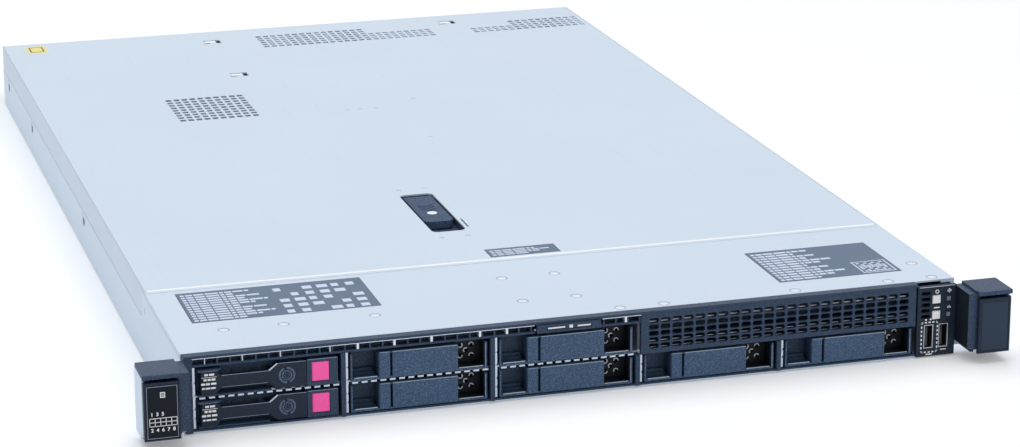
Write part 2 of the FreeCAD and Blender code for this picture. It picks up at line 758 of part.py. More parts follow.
def carrier_lever(bay):
    left, low = bay_corner(bay)
    origin = left - bay_face_left
    high = low + face_height
    pad_low, pad_high = low + 0.9, high - 0.9
    bar_low, bar_high = low + lever_bar_low, low + lever_bar_high
    pin_x, pin_y = lever_pin_place(left)
    pad, bar, flare, end = (origin + v for v in
                            (lever_pad_end, lever_bar_end, lever_flare_end, lever_end))
    chamfer = 3.0
    outline = [(pin_x, face_y, pad_low), (pad - chamfer, face_y, pad_low), (pad, face_y, bar_low),
               (bar, face_y, bar_low), (flare, face_y, low + 0.5), (end, face_y, low + 0.5),
               (end, face_y, high - 0.3), (flare, face_y, high - 0.3), (bar, face_y, bar_high),
               (pad, face_y, bar_high), (pad - chamfer, face_y, pad_high),
               (pin_x, face_y, pad_high)]
    body = plate(outline, (0, lever_thickness, 0))
    knuckle = rod(lever_thickness / 2, (pin_x, pin_y, pad_low), (0, 0, 1), pad_high - pad_low)
    rib = block(flare, end - 3, face_y + lever_thickness, face_y + lever_thickness + 1.6, low + 2,
                low + 3.2)
    rib2 = block(flare, end - 3, face_y + lever_thickness, face_y + lever_thickness + 1.6, high - 3.2,
                 high - 2)
    bore = rod(lever_pin_radius + pin_clearance, (pin_x, pin_y, low), (0, 0, 1), face_height)
    ring_x, ring_z = origin + lever_ring_x, low + face_height / 2
    ring = prism(lever_ring_radius, (ring_x, face_y - 1, ring_z), (0, 1, 0), 1.3, 24)
    ring = ring.cut(prism(lever_ring_radius - 1.1, (ring_x, face_y - 2, ring_z), (0, 1, 0), 3, 24))
    return carved(joined([body, knuckle, rib, rib2]), [bore, ring])


def carrier_button(bay):
    left, low = bay_corner(bay)
    x0, x1, z0, z1 = button_window(left, low)
    cap = block(x0, x1, face_y - 0.2, face_y + carrier_button_depth, z0, z1)
    edges = [e for e in cap.Edges if e.CenterOfMass.y < face_y]
    return cap.makeChamfer(0.4, edges)


def disk(bay):
    left, low = bay_corner(bay)
    x0 = left + (bay_face_width - disk_width) / 2
    z0 = low - 0.4
    z1 = z0 + disk_height
    body = block(x0, x0 + disk_width, disk_start, disk_start + disk_depth, z0, z1)
    plug = block(x0 + 14, x0 + disk_width - 14, disk_start + disk_depth - 4,
                 disk_start + disk_depth + 1, z0 - 1, z0 + 3)
    label = block(x0 + 6, x0 + disk_width - 6, disk_start + 8, disk_start + 88, z1 - 0.3, z1 + 1)
    return carved(body, [plug, label])


def drive_blank(bay):
    left, low = bay_corner(bay)
    right, high = left + bay_face_width, low + face_height
    back = face_y + blank_depth
    front = face_y + 0.5
    pocket_back = face_y + blank_pocket_depth
    pieces = [block(left, right, front, back, low, high),
              block(left + blank_plate_left, left + blank_plate_right, face_y, front, low + 0.4,
                    high - 0.2),
              block(left + blank_post_left, left + blank_post_right, face_y, front, low + 0.4,
                    high - 0.2),
              block(left, left + rail_thickness - 0.6, back, blank_rail_depth, low - 0.4, high - 1),
              block(right - rail_thickness + 0.6, right, back, blank_rail_depth, low - 0.4,
                    high - 1),
              block(left, right, back - 1.5, back, low - 0.4, high)]
    body = joined(pieces)
    finger = block(left + blank_pocket_left, left + blank_pocket_right, face_y - 1, pocket_back,
                   low + blank_wall, high + 1)
    groove = block(left + blank_post_right, left + blank_plate_left, face_y - 1, face_y + 4,
                   low + 0.8, high - 0.8)
    grille_pocket = block(left + blank_plate_right, left + blank_hole_pocket_right, face_y - 1,
                          pocket_back, low + blank_wall, high + 1)
    holes = []
    middle_z = (low + high) / 2
    for x, z in ((4.1, 3.1), (10.2, 3.1), (7.1, 0.2), (4.1, -2.8), (10.2, -2.8)):
        holes.append(prism(1.4, (left + blank_plate_right + x, pocket_back - 1, middle_z + z),
                           (0, 1, 0), 4, 8))
    hollow = block(left + blank_post_left + 1, left + blank_plate_right - 1, face_y + 5.5, back + 1,
                   low + blank_wall, high - blank_wall)
    ridges = [block(left + blank_pocket_left, left + blank_pocket_right - 1.5, pocket_back - 4 + d,
                    pocket_back, low + blank_wall, low + blank_wall + 1.4 + d) for d in (0, 1.6)]
    return joined([carved(body, [finger, groove, grille_pocket, hollow] + holes)] + ridges)


# ---------------------------------------------------------------- front I/O panel
def io_bezel():
    box_left, box_right = last_column + cage_sheet + snap_gap, half - 3.3
    back = face_y + io_face
    pieces = [block(io_left, io_right, face_y, back, io_low, io_high),
              block(box_left, box_right, back, io_box_depth - 2, 3, io_high - 1.4)]
    shell = joined(pieces)
    tools = [block(box_left + 1, box_right - 1, back, io_box_depth, 4, io_high - 2.4)]
    for n in range(5):
        z = 37.0 - n * 3.35
        tools.append(rounded_hole(io_left + 4.9, z, 5.4, 2.1, face_y - 1, back + 1))
    size = io_button_size + 2 * snap_gap
    for z in (power_button_z, locator_button_z):
        tools.append(rounded_hole(io_button_x, z, size, size, face_y - 1, back + 1, 0.3))
        tools.append(rounded_hole(io_left + 18.6, z, 2.3, 2.5, face_y - 1, face_y + 0.4, 0.3))
    for x in usb_x:
        tools.append(block(x - usb_width / 2 - 0.1, x + usb_width / 2 + 0.1, face_y - 1, back + 1,
                           usb_z - usb_height / 2 - 0.1, usb_z + usb_height / 2 + 0.1))
    return carved(shell, tools)


def io_button(z):
    size = io_button_size / 2
    cap = block(io_button_x - size, io_button_x + size, face_y + 0.1, face_y + io_face + 1,
                z - size, z + size)
    edges = [e for e in cap.Edges if e.CenterOfMass.y < face_y + 0.2]
    cap = cap.makeChamfer(0.4, edges)
    flange = block(io_button_x - size - 0.7, io_button_x + size + 0.7,
                   face_y + io_face + 0.05, face_y + io_face + 0.9, z - size, z + size)
    stem = prism(1.2, (io_button_x, face_y + io_face + 0.5, z), (0, 1, 0),
                 io_box_depth - 2 - io_button_travel - slide_gap - (face_y + io_face + 0.5), 8)
    return joined([cap, flange, stem])


def front_io_board():
    box_left, box_right = last_column + cage_sheet + snap_gap, half - 3.3
    return block(box_left, box_right, io_box_depth - 2, io_box_depth - 2 + board, 3, io_high - 1.4)


def front_usb_sockets():
    sockets = []
    for x in usb_x:
        shell = block(x - usb_width / 2, x + usb_width / 2, face_y + 0.3, io_box_depth - 2,
                      usb_z - usb_height / 2, usb_z + usb_height / 2)
        hollow = block(x - usb_width / 2 + 0.4, x + usb_width / 2 - 0.4, face_y - 1, 7,
                       usb_z - usb_height / 2 + 0.4, usb_z + usb_height / 2 - 0.4)
        tongue = block(x - usb_width / 2 + 0.9, x - usb_width / 2 + 2.5, face_y + 1.2, 7.5,
                       usb_z - usb_height / 2 + 1.3, usb_z + usb_height / 2 - 1.3)
        sockets.append(joined([shell.cut(hollow), tongue]))
    return Part.makeCompound(sockets)


# ---------------------------------------------------------------- rack ears, right side
def lever_swing():
    """Room that the ear lever's foot sweeps below its hinge; the bosses round the pin stay."""
    reach = ear_hinge_z - ear_lever_low + slide_gap
    room = block(half, ear_outer + 1, -ear_depth - 1, ear_hinge_y + reach, ear_low - 1, ear_hinge_z)
    boss = rod(ear_pin_radius + 0.8, (half, ear_hinge_y, ear_hinge_z), (1, 0, 0), 30)
    return room.cut(boss)


def ear_bracket():
    inboard = half + slide_gap
    pieces = [block(inboard, ear_outer, -ear_flange, 0, ear_low, ear_high - ear_cap),
              block(half - 3, inboard, -ear_flange, -slide_gap, ear_low, ear_high - ear_cap),
              block(half - 3, half - sheet, -ear_flange, ear_leg_depth, ear_low,
                    body_height - hood_lip - 2 - snap_gap),
              block(ear_outer - sheet, ear_outer, -ear_depth + 2.8, 0, ear_low, ear_high - ear_cap)]
    hole = rod(rack_screw_radius + 0.3, (rack_hole_span / 2, -ear_flange - 1, body_height / 2),
               (0, 1, 0), ear_flange + 2)
    return carved(joined(pieces), [hole, lever_swing()])


def ear_housing():
    left, right = half - 0.7, ear_outer
    inner = ear_post_right
    pieces = [block(left, inner, -ear_post_depth, -ear_flange, ear_post_low, ear_post_high),
              block(inner, right, -ear_depth, -ear_flange, ear_high - ear_cap, ear_high),
              block(inner - 0.5, inner + ear_wall, -ear_depth + 3, -ear_flange, ear_low, ear_high),
              block(right - sheet - ear_wall, right - sheet, -ear_depth + 3, -ear_flange, ear_low,
                    ear_high)]
    shell = joined(pieces)
    top_edge = plate([(inner - 1, -ear_depth - 1, ear_high - 1.2),
                      (inner - 1, -ear_depth - 1, ear_high + 1),
                      (inner - 1, -ear_depth + 1.4, ear_high + 1)], (right - inner + 2, 0, 0))
    pin = rod(ear_pin_radius, (inner - 3, ear_hinge_y, ear_hinge_z), (1, 0, 0), 30)
    return carved(shell, [top_edge, pin, lever_swing()])


def ear_lever():
    left, right = ear_post_right + 0.4, ear_outer - 0.4
    inner_left, inner_right = ear_post_right + ear_wall + 0.3, ear_outer - sheet - ear_wall - 0.3
    face = block(left, right, -ear_depth, -ear_depth + ear_lever_face, ear_lever_low,
                 ear_lever_high)
    edges = [e for e in face.Edges if e.CenterOfMass.y < -ear_depth + 0.1
             and abs(e.CenterOfMass.z - ear_lever_high) > 1]
    face = face.makeChamfer(0.6, edges)
    knuckle = rod(ear_hinge_radius, (inner_left, ear_hinge_y, ear_hinge_z), (1, 0, 0),
                  inner_right - inner_left)
    web = block(inner_left, inner_right, -ear_depth + 1, ear_hinge_y, ear_hinge_z - 1.2,
                ear_hinge_z + 1.2)
    hook = block(inner_left + 2, inner_right - 2, -ear_depth + 1, -ear_depth + 5,
                 ear_lever_high - 1.2, ear_lever_high)
    bore = rod(ear_pin_radius + pin_clearance, (inner_left - 1, ear_hinge_y, ear_hinge_z),
               (1, 0, 0), inner_right - inner_left + 2)
    recess = block(left + ear_panel_rim, right - ear_panel_rim, -ear_depth - 1,
                   -ear_depth + ear_panel_recess, ear_lever_low + ear_panel_rim,
                   ear_lever_high - 1.6 * ear_panel_rim)
    return carved(joined([face, knuckle, web, hook]), [bore, recess])


def ear_hinge_pins():
    right = ear_outer - sheet
    pin = rod(ear_pin_radius, (ear_post_right - 3, ear_hinge_y, ear_hinge_z), (1, 0, 0),
              right - ear_post_right + 3)
    return Part.makeCompound([pin, mirrored(pin)])


def rack_screws():
    """Captive screw of each ear: slotted knob, thin neck in the flange, thread behind it."""
    x, z = rack_hole_span / 2, body_height / 2
    knob_front = -ear_flange - rack_knob_depth
    neck = prism(rack_screw_neck, (x, -ear_flange, z), (0, 1, 0), ear_flange + rack_screw_start)
    thread = rod(rack_screw_radius, (x, rack_screw_start, z), (0, 1, 0), rack_screw_reach)
    knob = prism(rack_knob_radius, (x, knob_front, z), (0, 1, 0), rack_knob_depth, 16)
    slot = block(x - rack_knob_radius, x + rack_knob_radius, knob_front - 1, knob_front + 1.2,
                 z - 0.6, z + 0.6)
    screw = joined([neck, thread, knob]).cut(slot)
    return Part.makeCompound([screw, mirrored(screw)])


# ---------------------------------------------------------------- fans
def fan_x(n):
    return (n - (fan_count - 1) / 2) * fan_pitch


def fan_frame(n):
    x = fan_x(n)
    back = fan_front + fan_depth
    low = sheet
    body = block(x - fan_size / 2, x + fan_size / 2, fan_front, back, low, low + fan_size)
    bore = prism(fan_bore_radius, (x, fan_front - 1, fan_axis_z), (0, 1, 0), fan_depth + 2, 24)
    wall = fan_size / 2 - fan_bore_radius
    waists = [block(x + s * fan_size / 2 - wall / 2, x + s * fan_size / 2 + wall / 2, fan_front + 5,
                    back - 5, low + 7, low + fan_size - 7) for s in (-1, 1)]
    shell = carved(body, [bore] + waists)
    motor = prism(fan_hub_radius, (x, back - 6, fan_axis_z), (0, 1, 0), 6)
    struts = [block(x - 1, x + 1, back - 3, back, low + 0.5, low + fan_size - 0.5),
              block(x - fan_size / 2 + 0.5, x + fan_size / 2 - 0.5, back - 3, back, fan_axis_z - 1,
                    fan_axis_z + 1)]
    shaft = rod(fan_shaft_radius, (x, fan_front + 20, fan_axis_z), (0, 1, 0), fan_depth - 21)
    return joined([shell, motor, shaft] + struts)


def blade_section(x, start):
    """Outline of a blade at the hub: it climbs round the hub ever more steeply along the axis."""
    steps = 3
    lower = []
    for k in range(steps + 1):
        part = k / steps
        lower.append((x, start + part * fan_blade_length,
                      fan_axis_z - fan_blade_rise / 2 + fan_blade_rise * part ** 1.6))
    upper = [(px, py - 0.4 * fan_blade_thickness, pz + fan_blade_thickness)
             for px, py, pz in reversed(lower)]
    return lower + upper


def fan_rotor(n):
    x = fan_x(n)
    start = fan_front + 8
    end = fan_front + fan_depth - 6 - slide_gap
    hub = prism(fan_hub_radius, (x, start, fan_axis_z), (0, 1, 0), end - start)
    blade_high = fan_blade_rise / 2 + fan_blade_thickness
    tip = math.sqrt((fan_bore_radius - fan_tip_gap) ** 2 - blade_high ** 2)
    blade = plate(blade_section(x, start + 2), (tip, 0, 0))
    blades = []
    for k in range(fan_blades):
        copy = blade.copy()
        copy.rotate(Vector(x, 0, fan_axis_z), Vector(0, 1, 0), 360.0 * k / fan_blades)
        blades.append(copy)
    bore = rod(fan_shaft_radius + pin_clearance, (x, fan_front + 19, fan_axis_z), (0, 1, 0),
               fan_depth)
    return joined([hub] + blades).cut(bore)


# ---------------------------------------------------------------- system board and what it carries
def system_board():
    left_front = -board_right
    left_back = psu_right + snap_gap + psu_divider + 1
    middle = rear_inside - psu_depth - 12
    back = rear_inside - board_rear_gap
    outline = [(left_front, board_front, board_height), (board_right, board_front, board_height),
               (board_right, back, board_height), (left_back, back, board_height),
               (left_back, middle, board_height), (left_front, middle, board_height)]
    pieces = [plate(outline, (0, 0, board))]
    for x in heat_sink_x:
        pieces.append(block(x - 34, x + 34, heat_sink_front + 10,
                            heat_sink_front + heat_sink_depth - 10, board_height + board / 2,
                            board_top + 4))
    for first, count in memory_groups:
        for k in range(count):
            x = first + k * memory_pitch
            pieces.append(block(x - 1, x + memory_thickness + 1, memory_front,
                                memory_front + memory_length + 1.5, board_top - 0.2, board_top + 2))
    slot_y = back - 95
    for x, width, start, length, height in ((psu_right + 129.9, 8, 0, 84, 11),
                                            (psu_right + 41.9, 28, -30, 28, 3),
                                            (board_right - 112, 28, -20, 28, 12)):
        pieces.append(block(x, x + width, slot_y + start, slot_y + start + length, board_top - 0.2,
                            board_top + height))
    for k in range(2):
        y = rear_inside - psu_depth - 12
        pieces.append(block(psu_first + k * psu_pitch + 10, psu_first + k * psu_pitch + 55,
                            y - 12, y, board_top - 0.2, board_top + 9))
    holes = [prism(screw_radius, (x, y, 0), (0, 0, 1), 2 * board_top, 8)
             for x, y in standoff_places()]
    return carved(joined(pieces), holes)


def board_screws():
    screws = []
    for x, y in standoff_places():
        shank = prism(screw_radius, (x, y, sheet), (0, 0, 1), board_top - sheet + 0.5, 8)
        head = prism(screw_head_radius, (x, y, board_top), (0, 0, 1), screw_head, 6)
        slot = block(x - 2, x + 2, y - 0.4, y + 0.4, board_top + screw_head - 0.8,
                     board_top + screw_head + 1)
        screws.append(joined([shank, head]).cut(slot))
    return Part.makeCompound(screws)


def heat_sinks():
    sinks = []
    y0 = heat_sink_front
    z0 = board_top + 4
    for x in heat_sink_x:
        left, right = x - heat_sink_width / 2, x + heat_sink_width / 2
        pieces = [block(left, right, y0, y0 + heat_sink_depth, z0, z0 + 5)]
        step = (heat_sink_width - 1) / (heat_sink_fins - 1)
        for k in range(heat_sink_fins):
            pieces.append(block(left + k * step, left + k * step + 1, y0 + 4,
                                y0 + heat_sink_depth - 4, z0, z0 + heat_sink_height))
        sinks.append(joined(pieces))
    return Part.makeCompound(sinks)


def memory_modules():
    modules = []
    for first, count in memory_groups:
        for k in range(count):
            x = first + k * memory_pitch
            modules.append(block(x, x + memory_thickness, memory_front, memory_front + memory_length,
                                 board_top + 2, board_top + memory_height))
    return Part.makeCompound(modules)


def air_baffle():
    """Moulded duct over processors and memory, open at the front to the fans and at the back."""
    front, back = board_front - 4, psu_front - baffle_rear_gap
    side = board_right - 2
    pieces = [block(-side, side, front, back, baffle_height, baffle_height + baffle_sheet),
              block(-side, -side + baffle_sheet, front, back, board_top, baffle_height + 1),
              block(side - baffle_sheet, side, front, back, board_top, baffle_height + 1)]
    for x in (baffle_wall_x, -baffle_wall_x):
        pieces.append(block(x - 0.8, x + 0.8, front, back, board_top + 3, baffle_height + 1))
    duct = joined(pieces)
    window = block(-24, 24, back - 30, back - 6, baffle_height - 1,
                   baffle_height + baffle_sheet + 1)
    return carved(duct, [window])


# ---------------------------------------------------------------- rear
def lan_jacks():
    """Left edges of the network jacks along the rear edge."""
    return [first_jack + jack_pitch * n for n in range(4)] + [lone_jack]


def rear_ports():
    back = body_depth
    front = back - port_depth
    low, high = board_top, board_top + port_height
    holes = []
    jacks = lan_jacks()
    bank = block(jacks[0], jacks[3] + jack_pitch, front, back, low, high)
    single = block(jacks[4], jacks[4] + jack_pitch, front, back, low, high)
    for x in jacks:
        middle = x + jack_pitch / 2
        holes.append(block(middle - jack_hole_width / 2, middle + jack_hole_width / 2,
                           back - jack_hole_depth, back + 1, low + 2.2,
                           low + 2.2 + jack_hole_height))
        holes.append(block(middle - 3, middle + 3, back - jack_hole_depth + 3, back + 1, low + 1.0,
                           low + 2.3))
    bank, single = carved(bank, holes), carved(single, holes)
    left, right = usb_block
    usb = block(left, right, front + 4, back, low, high)
    usb = usb.cut(Part.makeCompound([block(left + 0.7, right - 0.7, back - 10, back + 1,
                                           low + 0.9 + d, low + 5.4 + d) for d in (0, 6.6)]))
    left, right = video_left, video_left + video_width
    video = plate([(left + 2, back - 5.5, low + 1), (right - 2, back - 5.5, low + 1),
                   (right, back - 5.5, low + 11), (left, back - 5.5, low + 11)], (0, 5.5, 0))
    carrier = block(left, right, front + 6, back - 5.5, low, low + 12)
    return Part.makeCompound([bank, single, usb, joined([video, carrier])])


def port_windows(gap=0.3):
    """Cut-outs of the rear panel for the ports."""
    low, high = board_top - gap, board_top + port_height + gap
    jacks = lan_jacks()
    y0, y1 = rear_inside - 1, body_depth + 1
    spans = ((jacks[0], jacks[3] + jack_pitch), (jacks[4], jacks[4] + jack_pitch), usb_block,
             (video_left - 0.5, video_left + video_width + 0.5))
    return [block(a - gap, b + gap, y0, y1, low, high) for a, b in spans]


def rear_panel():
    lower = block(-half, half, rear_inside, body_depth, 0, joggle)
    upper = block(-inner_wall, inner_wall, rear_inside, body_depth, joggle - 1, flange_top)
    tools = [block(psu_first - snap_gap, psu_right + snap_gap, rear_inside - 1, body_depth + 1,
                   sheet, sheet + 0.6 + psu_height)]
    tools += port_windows()
    knob_x, knob_z = thumbscrew_place()
    tools.append(prism(screw_radius, (knob_x, rear_inside - 1, knob_z), (0, 1, 0), 3))
    for left, right in card_slots:
        tools.append(block(left, right, rear_inside - 1, body_depth + 1, card_low, card_high))
    vents = []
    for k in range(12):
        x = card_slots[1][0] + 2 + 9 * k
        vents.append(block(x, x + 6, rear_inside - 1, body_depth + 1, 9, 11.5))
        vents.append(block(x, x + 6, rear_inside - 1, body_depth + 1, 14.5, 17))
    return carved(joined([lower, upper]), tools + vents)


def riser_cage():
    """Folded bracket over the rear of the board: slot covers, shelf and side legs."""
    left, right = card_slots[0][0] - 4, card_slots[1][1] + 4
    front = rear_inside - 130
    shelf = 39.4
    pieces = [block(left, right, front, rear_inside, shelf - sheet + 0.6, shelf + 0.6)]
    port_front = rear_inside - port_depth - 3
    middle = (card_slots[0][1] + card_slots[1][0]) / 2 - 2
    for x, end in ((left, port_front), (middle, port_front), (right - 1.2, rear_inside)):
        pieces.append(block(x, x + 1.2, front, end, board_top, shelf))
    for low, high in card_slots:
        pieces.append(block(low + 0.3, high - 0.3, rear_inside - 0.4, body_depth, card_low + 0.3,
                            card_high - 0.3))
        pieces.append(block(low - 2, high + 2, rear_inside - 1.2, rear_inside, card_low - 1, shelf))
    pieces.append(block(middle, middle + 2, front + 30, port_front, board_top + 11, shelf))
    vents = []
    for low, high in card_slots:
        count = int((high - low - 8) / 9)
        for k in range(count):
            x = low + 5 + k * 9
            for z in (26.5, 31.0, 35.0):
                vents.append(block(x, x + 6.5, rear_inside - 2, body_depth + 1, z, z + 2.4))
    top_air = [block(x, x + 24, front + 16, front + 110, shelf - 2, shelf + 2)
               for x in (left + 16, left + 52, left + 88, right - 100, right - 64, right - 32)]
    knob_x, knob_z = thumbscrew_place()
    pieces.append(block(right - 1.2, knob_x + 3, rear_inside - 1.2, rear_inside, knob_z - 5,
                        knob_z + 5))
    knob = prism(thumb_radius, (knob_x, body_depth, knob_z), (0, 1, 0), thumb_length, 16)
    shank = prism(screw_radius, (knob_x, rear_inside - 1, knob_z), (0, 1, 0), 3)
    return joined([carved(joined(pieces), vents + top_air), knob, shank])


def thumbscrew_place():
    return card_slots[1][1] + 5.5, 34.0


def psu_left(n):
    return psu_first + n * psu_pitch


def psu_low():
    return sheet + slide_gap


def power_supply(n):
    left, low = psu_left(n), psu_low()
    right, high = left + psu_width, low + psu_height
    back = body_depth + psu_proud
    body = block(left, right, back - psu_depth, back, low, high)
    grip_x = left + psu_handle_offset
    g0, g1 = grip_x - psu_handle_width / 2, grip_x + psu_handle_width / 2
    reach = back + psu_handle_reach
    handle = block(g0, g1, back - 1, reach, psu_handle_low, psu_handle_high)
    corners = [e for e in handle.Edges if abs(e.tangentAt(e.FirstParameter).x) > 0.9
               and e.CenterOfMass.y > reach - 1]
    handle = handle.makeFillet(4.0, corners)
    gap = block(g0 - 1, g1 + 1, back, reach - psu_handle_bar, psu_handle_low + psu_handle_bar,
                psu_handle_high - psu_handle_bar)
    handle = handle.cut(gap)
    inlet = block(right - 31, right - 5, back - 15, back + 1, low + 5, low + 24)
    blades = [block(right - 18 + dx - 1, right - 18 + dx + 1, back - 15.5, back - 5,
                    low + z, low + z + 4.5) for dx, z in ((-7, 10), (0, 15.5), (7, 10))]
    vents = [block(right - 33 + 6.6 * k, right - 33 + 6.6 * k + 4.6, back - 3, back + 1, low + 27 + r,
                   low + 29.6 + r) for k in range(5) for r in (0, 4.4)]
    slot = latch_pocket(n)
    return joined([carved(joined([body, handle]), [inlet, slot] + vents)] + blades)


def latch_pocket(n):
    x = psu_left(n) + psu_latch_offset
    back = body_depth + psu_proud
    return block(x - 5.5, x + psu_latch_thickness / 2 + 1, back - psu_latch_inside - 2.6, back + 1,
                 psu_latch_low - 0.4, psu_latch_high + 0.4)


def psu_latch(n):
    """Release tab that is squeezed towards the handle; it turns about a post in the supply."""
    x = psu_left(n) + psu_latch_offset
    back = body_depth + psu_proud
    half_t = psu_latch_thickness / 2
    blade = block(x - half_t, x + half_t, back - psu_latch_inside, back + psu_latch_reach,
                  psu_latch_low, psu_latch_high)
    root = rod(1.8, (x, back - psu_latch_inside, psu_latch_low), (0, 0, 1),
               psu_latch_high - psu_latch_low)
    return joined([blade, root])


# ---------------------------------------------------------------- every node
def all_nodes():
    nodes = {
        "chassis_pan": chassis_pan(),
        "front_hood": front_hood(),
        "hood_rivets": hood_rivets(),
        "rear_panel": rear_panel(),
        "access_cover": access_cover(),
        "cover_latch_tray": latch_tray(),
        "cover_latch_pin": latch_pin(),
        "cover_latch_lever": latch_lever(),
        "cover_latch_lock": latch_lock(),
        "drive_cage": drive_cage(),
        "front_bezel": front_bezel(),
        "info_tab": info_tab(),
        "media_bay_blank": media_bay_blank(),
        "drive_backplane": drive_backplane(),
        "io_bezel": io_bezel(),
        "power_button": io_button(power_button_z),
        "locator_button": io_button(locator_button_z),
        "front_io_board": front_io_board(),
        "front_usb_sockets": front_usb_sockets(),
        "ear_hinge_pins": ear_hinge_pins(),
        "rack_screws": rack_screws(),
        "system_board": system_board(),
        "board_screws": board_screws(),
        "heat_sinks": heat_sinks(),
        "memory_modules": memory_modules(),
        "air_baffle": air_baffle(),
        "riser_cage": riser_cage(),
        "rear_ports": rear_ports(),
        "fan_frames": Part.makeCompound([fan_frame(n) for n in range(fan_count)]),
    }
    for name, shape in (("bracket", ear_bracket()), ("housing", ear_housing()),
                        ("lever", ear_lever())):
        nodes["right_ear_" + name] = shape
        nodes["left_ear_" + name] = mirrored(shape)
    for bay in (1, 2):
        nodes["drive_carrier_%d" % bay] = drive_carrier(bay)
        nodes["disk_%d" % bay] = disk(bay)
        nodes["carrier_lever_%d" % bay] = carrier_lever(bay)
        nodes["carrier_button_%d" % bay] = carrier_button(bay)
    for bay in range(3, 9):
        nodes["drive_blank_%d" % bay] = drive_blank(bay)
    for n in range(fan_count):
        nodes["fan_rotor_%d" % (n + 1)] = fan_rotor(n)
    for n in range(psu_count):
        nodes["power_supply_%d" % (n + 1)] = power_supply(n)
        nodes["psu_latch_%d" % (n + 1)] = psu_latch(n)
    return nodes


os.makedirs("parts", exist_ok=True)
for name, shape in all_nodes().items():
    shape.exportStep("parts/" + name + ".step")
    print("%-20s %3d solids %8.0f mm3 %5d faces valid %s" % (
        name, len(shape.Solids), shape.Volume, len(shape.Faces), shape.isValid()))
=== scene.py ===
import bpy
import bmesh
import math
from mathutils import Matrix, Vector


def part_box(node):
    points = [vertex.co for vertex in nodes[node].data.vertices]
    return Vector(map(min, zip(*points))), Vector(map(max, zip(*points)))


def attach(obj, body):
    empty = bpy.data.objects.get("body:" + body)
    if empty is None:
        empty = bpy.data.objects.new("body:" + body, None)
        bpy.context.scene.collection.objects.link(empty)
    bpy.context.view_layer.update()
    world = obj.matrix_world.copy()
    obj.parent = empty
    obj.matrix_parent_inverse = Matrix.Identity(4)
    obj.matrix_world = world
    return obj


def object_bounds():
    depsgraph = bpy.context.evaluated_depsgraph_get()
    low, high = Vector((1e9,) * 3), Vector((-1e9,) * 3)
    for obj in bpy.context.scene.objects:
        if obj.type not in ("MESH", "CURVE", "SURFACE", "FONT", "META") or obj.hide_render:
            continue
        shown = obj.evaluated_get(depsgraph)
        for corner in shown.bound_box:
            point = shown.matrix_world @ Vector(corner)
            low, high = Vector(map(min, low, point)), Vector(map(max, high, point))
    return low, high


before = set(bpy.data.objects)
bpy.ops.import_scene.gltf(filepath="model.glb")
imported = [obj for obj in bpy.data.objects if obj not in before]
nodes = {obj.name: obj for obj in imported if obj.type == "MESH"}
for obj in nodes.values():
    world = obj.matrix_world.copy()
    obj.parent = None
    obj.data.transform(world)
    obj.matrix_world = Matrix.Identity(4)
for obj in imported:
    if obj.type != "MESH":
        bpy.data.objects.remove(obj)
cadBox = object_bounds()
mm = 0.001
print("frame loaded:", len(nodes), "nodes")

# helpers for node trees
def clearedTree(owner):
    owner.use_nodes = True
    owner.node_tree.nodes.clear()
    return owner.node_tree


def addNode(tree, kind, given, **settings):
    # each given input is another node's output, which is linked, or a value, which is set
    node = tree.nodes.new(kind)
    for setting, value in settings.items():
        setattr(node, setting, value)
    for socketName, value in given.items():
        if isinstance(value, bpy.types.NodeSocket):
            tree.links.new(value, node.inputs[socketName])
        else:
            node.inputs[socketName].default_value = value
    return node


def addMath(tree, operation, first, second):
    return addNode(tree, "ShaderNodeMath", {0: first, 1: second}, operation=operation).outputs[0]


def spanOf(tree, value, low=0.0, high=1.0, start=0.0, end=1.0):
    # what runs from start to end comes out from low to high
    return addNode(tree, "ShaderNodeMapRange",
                   {"Value": value, "From Min": start, "From Max": end, "To Min": low,
                    "To Max": high}).outputs["Result"]


# camera, lamps and floor
white = (1, 1, 1, 1)
studio = {
    "cameraPlace": (-0.4702, -1.4312, 0.5572),
    "cameraTurn": (74.32, 0.35, -15.85),     # degrees
    "lens": 104.85,
    "shiftX": 0.049,
    "shiftY": -0.072,
    "viewReach": 100,
    "keyLamp": {"place": (-0.3, 0.6, 2.6), "power": 54.0, "size": 3.2},
    "frontLamp": {"place": (0.9, -2.2, 1.2), "power": 12.5, "size": 1.6, "aim": (0, 0.1, 0)},
    "skyStrength": 0.38,
    "floorColour": (0.86, 0.88, 0.91, 1),
    "floorLift": 0.2,
    "floorSize": 30.0,
    "floorGap": 0.5 * mm,
}


def shownRays(tree):
    # camera, glossy and transmission rays see the white surroundings
    path = tree.nodes.new("ShaderNodeLightPath").outputs
    seen = addMath(tree, "MAXIMUM", path["Is Camera Ray"], path["Is Glossy Ray"])
    return addMath(tree, "MAXIMUM", seen, path["Is Transmission Ray"])


def setSky():
    world = bpy.data.worlds.new("softSky")
    bpy.context.scene.world = world
    tree = clearedTree(world)
    dim, bright = [addNode(tree, "ShaderNodeBackground", {"Color": white, "Strength": strength})
                   for strength in (studio["skyStrength"], 1.0)]
    mix = addNode(tree, "ShaderNodeMixShader",
                  {0: shownRays(tree), 1: dim.outputs[0], 2: bright.outputs[0]})
    addNode(tree, "ShaderNodeOutputWorld", {"Surface": mix.outputs[0]})


def addLamp(name, place, power, size, aim=None):
    # without an aim the lamp looks straight down
    lamp = bpy.data.lights.new(name, "AREA")
    lamp.energy = power
    lamp.size = size
    holder = bpy.data.objects.new(name, lamp)
    holder.location = place
    if aim:
        towards = Vector(aim) - holder.location
        holder.rotation_euler = towards.to_track_quat("-Z", "Y").to_euler()
    bpy.context.scene.collection.objects.link(holder)


